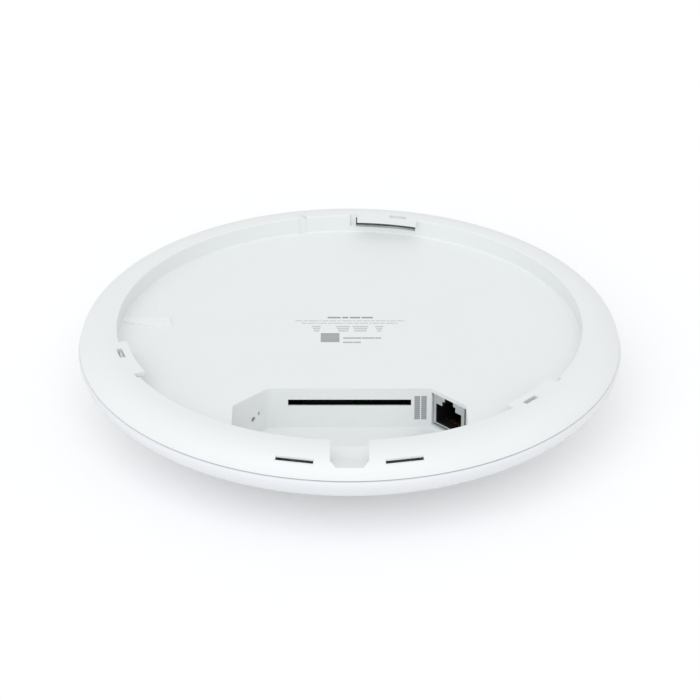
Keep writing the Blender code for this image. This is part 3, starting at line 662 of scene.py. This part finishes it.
# %% [markdown]
# ## Sheet metals
# Rolled sheet is bright, with faint lines along the way it was rolled: a stretched noise gives the
# lines, and a second noise varies the roughness in patches, where the metal has been handled. Plating
# changes only the colour and how sharp the highlight is, so one function makes all five metals.

# %% Tinned steel, aluminium, brass, gold and zinc
STRETCH = 12.0    # how many times as long as wide a rolling line is


def sheet_metal(name, colour, roughness, line_width, direction=(1.0, STRETCH, 1.0)):
    material, tree, shader, place = start_material(name, Metallic=1.0)
    shader.inputs["Base Color"].default_value = linear(colour)
    spread = add_node(tree, "ShaderNodeMapping", {"Vector": place}, {"Scale": direction})
    lines = add_node(tree, "ShaderNodeTexNoise", {"Vector": spread.outputs["Vector"]},
                     {"Scale": per_mm(line_width * STRETCH), "Detail": 4.0, "Roughness": 0.6})
    patches = add_node(tree, "ShaderNodeTexNoise", {"Vector": place}, {"Scale": per_mm(5.0), "Detail": 2.0})
    both = add_node(tree, "ShaderNodeMath", {0: lines.outputs["Fac"], 1: patches.outputs["Fac"]},
                    operation="MULTIPLY")
    worn = add_node(tree, "ShaderNodeMapRange", {"Value": both.outputs["Value"]},
                    {"From Min": 0.1, "From Max": 0.45,
                     "To Min": roughness - 0.08, "To Max": roughness + 0.12})
    bump = add_node(tree, "ShaderNodeBump", {"Height": lines.outputs["Fac"]},
                    {"Strength": 0.2, "Distance": 0.01 * MM})
    to_shader(tree, shader, Roughness=worn.outputs["Result"], Normal=bump.outputs["Normal"])
    return material


# Tin over rolled steel: a grey metal with a soft, slightly streaked shine.
tinned_steel = sheet_metal("tinned_steel_sheet", "#C9CBCC", 0.34, 0.15)
# Bare rolled aluminium: paler, with longer lines the other way and a wider highlight.
rolled_aluminium = sheet_metal("rolled_aluminium_sheet", "#D2D4D6", 0.38, 0.2, (STRETCH, 1.0, 1.0))
# Tin over stamped brass: a warm grey, because the tin is thin and the brass tints it.
tinned_brass = sheet_metal("tinned_brass_sheet", "#CFC6AE", 0.32, 0.15)
# Gold plated on spring bronze: a deep yellow with the sharpest highlight of these.
gold_plate = sheet_metal("gold_plated_bronze", "#E2B35C", 0.24, 0.1)
# Zinc plated on steel: a cool grey, a little duller than tin.
zinc_steel = sheet_metal("zinc_plated_steel", "#BFC3C6", 0.36, 0.12)
print("metals made")

# %% [markdown]
# ## Filled and soft plastics
# Black nylon and epoxy are moulded like the covers, but glass filled: fine pale flecks show in the
# black, and the surface is a little uneven. Rubber, film and sleeve have the same kind of fine unevenness
# in other colours, so one noise drives the flecks, the roughness and the bump of them all.

# %% Dark and coloured plastics
def filled_plastic(name, colour, fleck, roughness, grain=0.3, flecks=0.62):
    material, tree, shader, place = start_material(name, IOR=1.53)
    noise = add_node(tree, "ShaderNodeTexNoise", {"Vector": place},
                     {"Scale": per_mm(grain), "Detail": 4.0, "Roughness": 0.65})
    speck = add_node(tree, "ShaderNodeMapRange", {"Value": noise.outputs["Fac"]},
                     {"From Min": flecks, "From Max": flecks + 0.12, "To Min": 0.0, "To Max": 1.0})
    tint = add_node(tree, "ShaderNodeMix", {"Factor": speck.outputs["Result"]},
                    {"A": linear(colour), "B": linear(fleck)}, data_type="RGBA")
    satin = add_node(tree, "ShaderNodeMapRange", {"Value": noise.outputs["Fac"]},
                     {"From Min": 0.3, "From Max": 0.7,
                      "To Min": roughness - 0.06, "To Max": roughness + 0.08})
    bump = add_node(tree, "ShaderNodeBump", {"Height": noise.outputs["Fac"]},
                    {"Strength": 0.3, "Distance": 0.015 * MM})
    to_shader(tree, shader, Base_Color=tint.outputs["Result"], Roughness=satin.outputs["Result"],
              Normal=bump.outputs["Normal"])
    return material


# Glass-filled nylon, moulded: a dull deep black.
black_nylon = filled_plastic("nylon_black_glass_filled", "#101011", "#1C1C1D", 0.5)
# Epoxy moulding compound, as round a chip: a slightly greyer black, with pale silica flecks.
black_epoxy = filled_plastic("epoxy_black_moulded", "#17181A", "#242527", 0.42)
# Unfilled nylon, moulded: an even mid grey with a soft shine.
grey_nylon = filled_plastic("nylon_grey_moulded", "#8E9092", "#9A9C9E", 0.5)
# PVC shrunk tight with heat: smooth and glossy, in a very dark blue.
sleeve = filled_plastic("pvc_sleeve_dark_blue", "#1B2230", "#232B3B", 0.3, 0.6)
# Fluoropolymer extruded over the lead: a slick black with a narrow highlight.
lead_jacket = filled_plastic("fep_jacket_black", "#121213", "#1B1B1C", 0.35, 0.4)
# Ceramic-filled silicone, cast as a sheet: a chalky grey with almost no shine.
silicone = filled_plastic("silicone_pad_grey", "#7C828A", "#8B9198", 0.75, 0.5)
# Cast polyimide film: a clear amber over copper, drawn here as a solid amber gloss.
polyimide = filled_plastic("polyimide_film_amber", "#A8651C", "#B97526", 0.32, 0.8)
# White solder mask, printed: an off-white satin that sends the light back out.
white_laminate = filled_plastic("laminate_white_solder_mask", "#E4E5E2", "#DCDDDA", 0.45, 0.6)
# Phosphor-filled silicone, dispensed over the light chip: a pale yellow with a soft shine.
emitter_resin = filled_plastic("silicone_resin_yellow", "#E3D38A", "#EADCA0", 0.35, 0.4)
print("dark plastics made")

# %% Build the jack
shell = make_piece("lan_jack_shell", jack_box(0.0, JACK_LENGTH, JACK_HALF, 0.0, JACK_HEIGHT, 0.35),
                   tinned_steel)
room = jack_box(SHEET, JACK_LENGTH - SHEET, JACK_HALF - SHEET, -1.0, JACK_HEIGHT - SHEET)
combine(shell, "DIFFERENCE", room, mouth(-3.0))
soften(shell, 0.06)

block = jack_box(0.8, JACK_LENGTH - 0.8, JACK_HALF - 0.8, 0.3, JACK_HEIGHT - 0.8)
core = make_piece("lan_jack_socket", block, black_nylon)
combine(core, "DIFFERENCE", mouth(-15.0))
soften(core, 0.08)
stand_in(shell, "lan_jack_shield")
stand_in(core, "lan_jack_insulator")
print("jack built:", len(shell.data.polygons) + len(core.data.polygons), "faces")

# %% [markdown]
# ## The contact springs
# The eight contact springs are flat gold-plated wires. Each starts at the carrier in the depth of the
# socket and rises towards the plug, then turns down at its tip. Each wire is a small strip that is
# extruded along its bent path, and a loop lays eight of them side by side.

# %% Contact springs
CONTACTS = 8
CONTACT_PITCH = 1.02
SPRING_HALF = (0.22, 0.12)    # half of a strip's width and thickness
SPRING_PATH = ((-14.2, 2.6), (-12.4, 2.75), (-5.6, 2.1), (-3.8, 1.8), (-3.2, 1.45))


def spring(offset):
    shape = bmesh.new()
    x, z = SPRING_PATH[0]
    wide, thick = SPRING_HALF
    corners = [(-wide, -thick), (wide, -thick), (wide, thick), (-wide, thick)]
    ring = shape.faces.new([shape.verts.new((x * MM, (offset + y) * MM, (z + h) * MM)) for y, h in corners])
    for number, ((x0, z0), (x1, z1)) in enumerate(zip(SPRING_PATH, SPRING_PATH[1:])):
        grown = bmesh.ops.extrude_face_region(shape, geom=[ring])
        if number and ring.is_valid:
            shape.faces.remove(ring)    # a face left inside at each bend would not be a surface
        ring = [item for item in grown["geom"] if isinstance(item, bmesh.types.BMFace)][0]
        bmesh.ops.translate(shape, verts=ring.verts[:], vec=((x1 - x0) * MM, 0, (z1 - z0) * MM))
    return closed(shape)


comb = joined([spring((number - (CONTACTS - 1) / 2) * CONTACT_PITCH) for number in range(CONTACTS)])
contacts = make_piece("lan_jack_springs", in_jack(comb), gold_plate)
bar_shape = box_shape((1.8, 8.4, 0.9), (-13.9, 0, 2.6), rounding=0.15)
carrier = make_piece("lan_jack_carrier", in_jack(bar_shape), black_nylon)
stand_in(contacts, "lan_jack_contacts")
add_on(carrier)
print("springs laid:", CONTACTS)

# %% [markdown]
# ## The reset button
# A pin put through the hole pushes the small grey stem. The stem is a turned rod whose end is rounded over, and
# it rides on its own body, because it moves 0.3 mm into its switch.

# %% Button stem
def stem_shape():
    radius, near, far = 0.7, 0.6, 3.4
    rounding = arc(0.25, 270, 360, 4, centre=(radius - 0.25, near + 0.25))
    shape = turned([(0.0, near)] + rounding + [(radius, far), (0.0, far)], steps=32)
    return closed(in_reset_hole(shape))


button = make_piece("reset_button_stem", stem_shape(), grey_nylon)
stand_in(button, "reset_button", body="reset_button")
print("button:", len(button.data.polygons), "faces")

# %% [markdown]
# ## The status light
# The lens is a diffusing piece that fills the hole in the middle of the dome. Its face is very slightly
# domed and lies just inside the cover's surface. Inside, it narrows to a light pipe, so it is one more
# turned outline. It is moulded from polycarbonate with a white filler: a milky white, a little bluer
# than the cover, with some light passing under its skin.

# %% Lens
def lens_outline():
    face = LENS_HOLE - 0.3
    crown = [(0.0, 0.12), (face * 0.5, 0.14), (face - 0.3, 0.22), (face, 0.45)]
    flange = [(face, 2.3), (5.8, 2.3), (6.0, 2.5), (6.0, 3.2)]
    light_pipe = [(2.5, 3.2), (2.5, 5.9), (2.4, 6.0), (0.0, 6.0)]
    return crown + flange + light_pipe


diffuser, tree, shader, place = start_material("polycarbonate_diffusing", IOR=1.58, Roughness=0.32,
                                               Subsurface_Weight=0.35, Subsurface_Scale=0.002)
haze = add_node(tree, "ShaderNodeTexNoise", {"Vector": place}, {"Scale": per_mm(1.5), "Detail": 3.0})
tint = add_node(tree, "ShaderNodeMix", {"Factor": haze.outputs["Fac"]},
                {"A": linear("#DDE2E6"), "B": linear("#E6EAED")}, data_type="RGBA")
to_shader(tree, shader, Base_Color=tint.outputs["Result"])
lens = make_piece("status_light_lens", turned(lens_outline(), steps=96), diffuser)
stand_in(lens, "status_lens")
print("lens:", len(lens.data.polygons), "faces")

# %% [markdown]
# ## The circuit board
# The main board is glass-fibre laminate under a green solder mask. The mask gives a clear green gloss. The
# copper shows through it as slightly raised lighter lines, and tinned pads lie over them. A brick
# pattern makes the lines turn in square steps, as tracks do, and the cells of a Voronoi pattern give the
# pads, with a little disorder so they don't look like a grid.

# %% Green solder mask
def solder_mask():
    material, tree, shader, place = start_material("laminate_green_solder_mask", IOR=1.5, Roughness=0.38)
    tracks = add_node(tree, "ShaderNodeTexBrick", {"Vector": place},
                      {"Scale": per_mm(1.0), "Brick Width": 3.1, "Row Height": 0.9, "Mortar Size": 0.11,
                       "Mortar Smooth": 0.2}, offset=0.5)
    mask = add_node(tree, "ShaderNodeMix", {"Factor": tracks.outputs["Fac"]},
                    {"A": linear("#14502F"), "B": linear("#1F6B3F")}, data_type="RGBA")
    dots = add_node(tree, "ShaderNodeTexVoronoi", {"Vector": place},
                    {"Scale": per_mm(2.6), "Randomness": 0.35})
    pads = add_node(tree, "ShaderNodeMath", {0: dots.outputs["Distance"]}, {1: 0.16}, operation="LESS_THAN")
    tinned = add_node(tree, "ShaderNodeMix", {"Factor": pads.outputs["Value"], "A": mask.outputs["Result"]},
                      {"B": linear("#B9BBB6")}, data_type="RGBA")
    bump = add_node(tree, "ShaderNodeBump", {"Height": tracks.outputs["Fac"]},
                    {"Strength": 0.4, "Distance": 0.03 * MM})
    to_shader(tree, shader, Base_Color=tinned.outputs["Result"], Metallic=pads.outputs["Value"],
              Normal=bump.outputs["Normal"])
    return material


green_laminate = solder_mask()
print("made", green_laminate.name)

# %% [markdown]
# ## Cast aluminium
# The heat spreader is die cast. The skin of the metal is grey and grainy, and a little mottled where it
# flowed together, so its highlight is wide and broken up.

# %% Cast aluminium
def cast_metal():
    material, tree, shader, place = start_material("aluminium_die_cast", Metallic=1.0)
    grain = add_node(tree, "ShaderNodeTexNoise", {"Vector": place}, {"Scale": per_mm(0.5), "Detail": 5.0})
    flow = add_node(tree, "ShaderNodeTexNoise", {"Vector": place},
                    {"Scale": per_mm(14.0), "Detail": 3.0, "Distortion": 0.8})
    tint = add_node(tree, "ShaderNodeMix", {"Factor": flow.outputs["Fac"]},
                    {"A": linear("#8F9294"), "B": linear("#A5A8AA")}, data_type="RGBA")
    rough = add_node(tree, "ShaderNodeMapRange", {"Value": grain.outputs["Fac"]},
                     {"From Min": 0.3, "From Max": 0.7, "To Min": 0.42, "To Max": 0.6})
    bump = add_node(tree, "ShaderNodeBump", {"Height": grain.outputs["Fac"]},
                    {"Strength": 0.5, "Distance": 0.05 * MM})
    to_shader(tree, shader, Base_Color=tint.outputs["Result"], Roughness=rough.outputs["Result"],
              Normal=bump.outputs["Normal"])
    return material


cast_aluminium = cast_metal()
print("made", cast_aluminium.name)

# %% [markdown]
# ## Finishes by name
# Every CAD node gets a material, also those that a finer piece stands for. A table gives the finish for
# the start of a node's name. It is read from the top, so "antenna_plate" comes before "antenna_".

# %% Give the CAD nodes their materials
FINISHES = {
    "main_board": green_laminate,
    "heat_spreader": cast_aluminium,
    "reset_switch": black_nylon,
    "reset_button": grey_nylon,
    "status_light_board": white_laminate,
    "status_light_emitter": emitter_resin,
    "status_light_ribbon": polyimide,
    "status_lens": diffuser,
    "lan_jack_shield": tinned_steel,
    "lan_jack_insulator": black_nylon,
    "lan_jack_contacts": gold_plate,
    "front_cover": front_plastic_painted_shade,
    "back_cover": back_plastic,
    "antenna_plate": rolled_aluminium,
    "antenna_lead": lead_jacket,
    "antenna_plug": gold_plate,
    "antenna_": tinned_brass,
    "board_screw": zinc_steel,
    "spreader_screw": zinc_steel,
    "plate_screw": zinc_steel,
    "poe_capacitor": sleeve,
    "thermal_pad": silicone,
    "processor_can": tinned_steel,
    "radio_can": tinned_steel,
    "processor": black_epoxy,
    "radio_chip": black_epoxy,
    "memory_chip": black_epoxy,
    "lan_transformer": black_epoxy,
    "poe_": black_epoxy,
}

for name, node in nodes.items():
    node.data.materials.clear()
    node.data.materials.append(next(FINISHES[start] for start in FINISHES if name.startswith(start)))
print("materials on", len(nodes), "nodes")

# %% [markdown]
# ## Parts on the board
# Moulded packages have slightly rounded edges, so each takes light along its rim. The frame gives each
# package's box, and a loop makes a rounded block in its place. Two rows of bent legs join all but one to
# the board: a foot on the board and a riser at the package's side. The inductor has its pads under it.

# %% Packages, pads and legs
LEGS = (("memory_chip", 0.8, 0.3), ("processor", 0.8, 0.3), ("radio_chip_1", 0.65, 0.25),
        ("radio_chip_2", 0.65, 0.25), ("lan_transformer", 1.27, 0.45), ("poe_transformer", 2.5, 0.8))
packages = ["processor", "memory_chip", "radio_chip_1", "radio_chip_2", "lan_transformer",
            "poe_transformer", "poe_inductor"]
blocks = [(name, black_epoxy, "chip_epoxy", 0.2) for name in packages]
blocks += [(f"thermal_pad_{number}", silicone, "thermal_silicone", 0.12) for number in (1, 2, 3)]
blocks += [("status_light_emitter", emitter_resin, "light_emitter", 0.12)]
for name, material, slot, rounding in blocks:
    low, high = box_mm(name)
    block = box_shape(high - low, (low + high) / 2, rounding=rounding)
    stand_in(make_piece(f"{name}_body", block, material), name)


def legs(name, pitch, width):
    """Feet and risers along both long sides. The chip stands 0.3 mm above the board."""
    low, high = box_mm(name)
    board_top = low.z - 0.3
    count = int((high.x - low.x - 1.0) / pitch)
    first = (low.x + high.x) / 2 - (count - 1) * pitch / 2
    boxes = []
    for number in range(count):
        for edge, out in ((low.y, -1), (high.y, 1)):
            x = first + number * pitch
            boxes.append(((width, 1.0, 0.15), (x, edge + 0.6 * out, board_top + 0.1)))
            boxes.append(((width, 0.15, 0.8), (x, edge + 0.1 * out, board_top + 0.43)))
    return boxes


for name, pitch, width in LEGS:
    row_of_boxes(f"{name}_legs", legs(name, pitch, width), tinned_steel, rounding=0.03)
print("packages in place:", len(blocks))

# %% [markdown]
# ## Shield cans and capacitors
# A shield can is drawn from thin tinned sheet, so its folds are rounded. A capacitor is an aluminium cup
# in a shrunk sleeve: its lower end is crimped, and its bare top is scored with a cross, where it would
# burst safely.

# %% Cans
CAN_WALL = 0.2

for name in ("processor_can", "radio_can_1", "radio_can_2"):
    low, high = box_mm(name)
    size = high - low
    middle = (low + high) / 2
    outside = box_shape((size.x, size.y, size.z + 1.0), (middle.x, middle.y, middle.z - 0.5),
                        rounding=0.5, segments=3)
    can = make_piece(f"{name}_shell", outside, tinned_steel)
    room = box_shape((size.x - 2 * CAN_WALL, size.y - 2 * CAN_WALL, size.z),
                     (middle.x, middle.y, middle.z - CAN_WALL), rounding=0.3)
    below = box_shape((size.x + 2, size.y + 2, 2.0), (middle.x, middle.y, low.z - 1.0))
    stand_in(combine(can, "DIFFERENCE", room, below), name)
print("cans in place")

# %% Capacitors
for number in (1, 2, 3):
    low, high = box_mm(f"poe_capacitor_{number}")
    radius = (high.x - low.x) / 2
    x, y = (low.x + high.x) / 2, (low.y + high.y) / 2
    spot = shift((x, y, 0))
    crimp = [(radius, low.z + 1.0), (radius - 0.35, low.z + 1.5), (radius, low.z + 2.0)]
    shoulder = arc(0.5, 0, 90, 4, centre=(radius - 0.5, high.z - 0.5))
    rim = [(radius - 0.8, high.z), (radius - 0.8, high.z - 0.15), (0.0, high.z - 0.15)]
    foot = [(0.0, low.z), (radius - 0.2, low.z), (radius, low.z + 0.2)]
    cup = turned(foot + crimp + shoulder + rim, steps=48)
    cup.transform(spot)
    cup_piece = make_piece(f"capacitor_cup_{number}", cup, sleeve)
    stand_in(cup_piece, f"poe_capacitor_{number}")
    disc = radius - 0.85
    top = turned([(0.0, high.z - 0.13), (disc, high.z - 0.13), (disc, high.z), (0.0, high.z)], steps=48)
    top.transform(spot)
    plate = make_piece(f"capacitor_top_{number}", top, rolled_aluminium)
    for turn in (0, 90):
        combine(plate, "DIFFERENCE", box_shape((radius, 0.15, 0.2), (x, y, high.z), turn))
    add_on(plate)
print("capacitors in place")

# %% [markdown]
# ## Screws
# All the screws have a pan head with a cross recess and a threaded shank. A real thread is a spiral, but
# rings at the same pitch look alike at this size and need far fewer faces. One mesh is turned at the
# origin, two crossed boxes cut its recess, and it is copied to the places that the frame gives. The
# three in the antenna plate are turned over.

# %% Screws
PITCH = 0.6
HEAD = 1.2
SHANK = 1.1
SCREWS = (("board_screw", 6, False), ("spreader_screw", 4, False), ("plate_screw", 3, True))


def screw_piece(radius, length):
    pan = [(0.0, 0.0), (radius * 0.6, 0.05), (radius * 0.9, 0.35), (radius, 0.75), (radius, HEAD)]
    thread = []
    for number in range(int((length - HEAD - 0.4) / PITCH)):
        root = HEAD + PITCH * number
        thread += [(SHANK - 0.2, root + 0.2), (SHANK, root + 0.5)]
    piece = make_piece("screw", turned(pan + thread + [(SHANK - 0.4, length), (0.0, length)], steps=32))
    bars = [box_shape((radius * 1.1, 0.5, 1.4), (0, 0, 0), turn, 0.08) for turn in (0, 90)]
    return combine(piece, "DIFFERENCE", *bars)


for family, count, over in SCREWS:
    low, high = box_mm(f"{family}_1")
    master = screw_piece((high.x - low.x) / 2, high.z - low.z)
    for name in [f"{family}_{number + 1}" for number in range(count)]:
        low, high = box_mm(name)
        shape = bmesh.new()
        shape.from_mesh(master.data)
        if over:
            shape.transform(spin_by(180, "X"))
        shape.transform(shift(((low.x + high.x) / 2, (low.y + high.y) / 2, high.z if over else low.z)))
        stand_in(make_piece(f"{name}_threaded", shape, zinc_steel), name)
    bpy.data.objects.remove(master)
print("screws in place:", sum(count for family, count, over in SCREWS))

# %% [markdown]
# ## Printing
# The real floor carries small grey printing. Here it is replaced by plain bars that say nothing. The
# marks could be painted by the material, but as bars 0.03 mm thick that lie on the plastic they stay
# sharp and are kept in the model. Pad-printed ink is a matt, slightly uneven film, so the plastic shows
# through and each grey is a little patchy.

# %% Grey ink
def ink(name, dark, light):
    material, tree, shader, place = start_material(name, IOR=1.5, Roughness=0.55)
    patchy = add_node(tree, "ShaderNodeTexNoise", {"Vector": place}, {"Scale": per_mm(0.6), "Detail": 3.0})
    tint = add_node(tree, "ShaderNodeMix", {"Factor": patchy.outputs["Fac"]},
                    {"A": linear(dark), "B": linear(light)}, data_type="RGBA")
    to_shader(tree, shader, Base_Color=tint.outputs["Result"])
    return material


dark_ink = ink("pad_printing_ink_grey", "#8C8F90", "#9A9D9E")
middle_ink = ink("pad_printing_ink_mid_grey", "#A9ACAC", "#B5B8B8")
pale_ink = ink("pad_printing_ink_pale_grey", "#BFC3C2", "#CACDCD")
wall_ink = ink("pad_printing_ink_wall_grey", "#999C9D", "#A6A9AA")
mark_ink = ink("pad_printing_ink_dark_grey", "#A0A3A4", "#ACAFB0")
print("inks mixed")

# %% Bars on the recess floor
INK = 0.03
LIFT = INK / 2 + 0.005    # from the plastic to the middle of the film


def bar(left, right, middle, height):
    return ((right - left, height, INK), ((left + right) / 2, middle, RECESS + LIFT))


def dashes(left, right, middle, height, lengths, space):
    """A row of short bars of repeating lengths, like a line of print that can't be read."""
    row = []
    while left < right:
        length = min(lengths[len(row) % len(lengths)], right - left)
        row.append(bar(left, left + length, middle, height))
        left += length + space
    return row


bold = dashes(-8.1, 8.6, 13.8, 1.0, (4.8, 2.3, 3.8), 0.55)
fine = dashes(-19.9, 20.4, 11.3, 0.6, (2.6, 1.4, 3.4, 0.9, 2.1), 0.4)
fine += dashes(-17.6, 18.0, 9.5, 0.6, (1.7, 3.1, 0.8, 2.4), 0.4)
for left, right in ((-13.8, -10.5), (-5.0, 0.1), (1.1, 6.8), (9.3, 12.3)):
    fine += [bar(left + 0.4 * row, right - 0.3 * row, 6.9 - 1.6 * row, 0.9) for row in range(3)]
square = [bar(-10.5, -3.7, 1.6 - 0.85 * row, 0.62) for row in range(8)]
lines = dashes(-2.3, 11.5, -1.7, 1.0, (6.6, 4.4), 0.3) + dashes(-2.4, 4.3, -4.9, 0.9, (3.6, 2.6), 0.3)
row_of_boxes("floor_print_dark", bold + square, dark_ink)
row_of_boxes("floor_print_middle", lines, middle_ink)
row_of_boxes("floor_print_pale", fine, pale_ink)
print("print laid on the floor")

# %% Two bars beside the slot, and the dot by the reset hole
wall_bars = []
for left, right in ((22.9, 24.85), (25.3, 27.2)):
    wall_bars += [((right - left, INK, 0.72), ((left + right) / 2, BAY_BACK - LIFT, RECESS - 3.4 - 0.8 * row))
                  for row in range(12)]
row_of_boxes("bay_wall_print", wall_bars, wall_ink)
dot = box_shape((INK, 0.7, 1.4), behind_left(-LIFT, RESET_Z + 1.5, along=2.6), RESET_TURN)
add_on(make_piece("reset_mark", dot, mark_ink))
print("marks laid on the bay's walls")

# %% [markdown]
# ## Floor, light and camera
# The object lies in a white room. The floor is a wide pale sheet, the sky is an even soft white,
# and one large soft light from the front and above gives the slopes their slight differences. The
# camera stands 0.95 m away with a long lens, and looks down by about 29 degrees.

# %% Floor
def opal_sheet():
    """A white acrylic sheet that is lit a little from below, so shadows on it stay pale."""
    material, tree, shader, place = start_material("acrylic_opal_sheet", Roughness=0.85,
                                                   Specular_IOR_Level=0.1, Emission_Strength=0.15)
    cloud = add_node(tree, "ShaderNodeTexNoise", {"Vector": place}, {"Scale": per_mm(90.0), "Detail": 1.0})
    tint = add_node(tree, "ShaderNodeMix", {"Factor": cloud.outputs["Fac"]},
                    {"A": linear("#EDEDED"), "B": linear("#EFEFEF")}, data_type="RGBA")
    shader.inputs["Emission Color"].default_value = linear("#FFFFFF")
    to_shader(tree, shader, Base_Color=tint.outputs["Result"])
    return material


sheet = bmesh.new()
bmesh.ops.create_grid(sheet, x_segments=1, y_segments=1, size=8.0)
floor = make_piece("floor", sheet, opal_sheet())
print("floor laid")

# %% Light
world = bpy.data.worlds.new("white_room")
bpy.context.scene.world = world
world.use_nodes = True
sky = world.node_tree.nodes["Background"]
sky.inputs["Color"].default_value = linear("#FFFFFE")
sky.inputs["Strength"].default_value = 0.79
SUN_HEIGHT = 46
SUN_SIDE = 12
lamp = bpy.data.lights.new("soft_front_light", "SUN")
lamp.energy = 1.05
lamp.color = linear("#F1F5FF")[:3]
lamp.angle = math.radians(70)
sun = bpy.data.objects.new("soft_front_light", lamp)
sun.rotation_euler = (math.radians(90 - SUN_HEIGHT), 0, math.radians(-SUN_SIDE))
bpy.context.scene.collection.objects.link(sun)
bpy.context.scene.view_settings.view_transform = "Standard"
print("light set")

# %% Camera
CAMERA_DISTANCE = 9.622 * RADIUS
CAMERA_HEIGHT = 29.12
CAMERA_TILT = 29.38
camera_data = bpy.data.cameras.new("camera")
camera_data.lens = 133.7
camera_data.sensor_width = 36.0
camera = bpy.data.objects.new("camera", camera_data)
height = math.radians(CAMERA_HEIGHT)
camera.location = (0.00015, -math.cos(height) * CAMERA_DISTANCE * MM,
                   (SEAM + math.sin(height) * CAMERA_DISTANCE) * MM)
camera.rotation_euler = (math.radians(90 - CAMERA_TILT), 0, 0)
bpy.context.scene.collection.objects.link(camera)
bpy.context.scene.camera = camera
print("camera at", [round(value, 3) for value in camera.location])
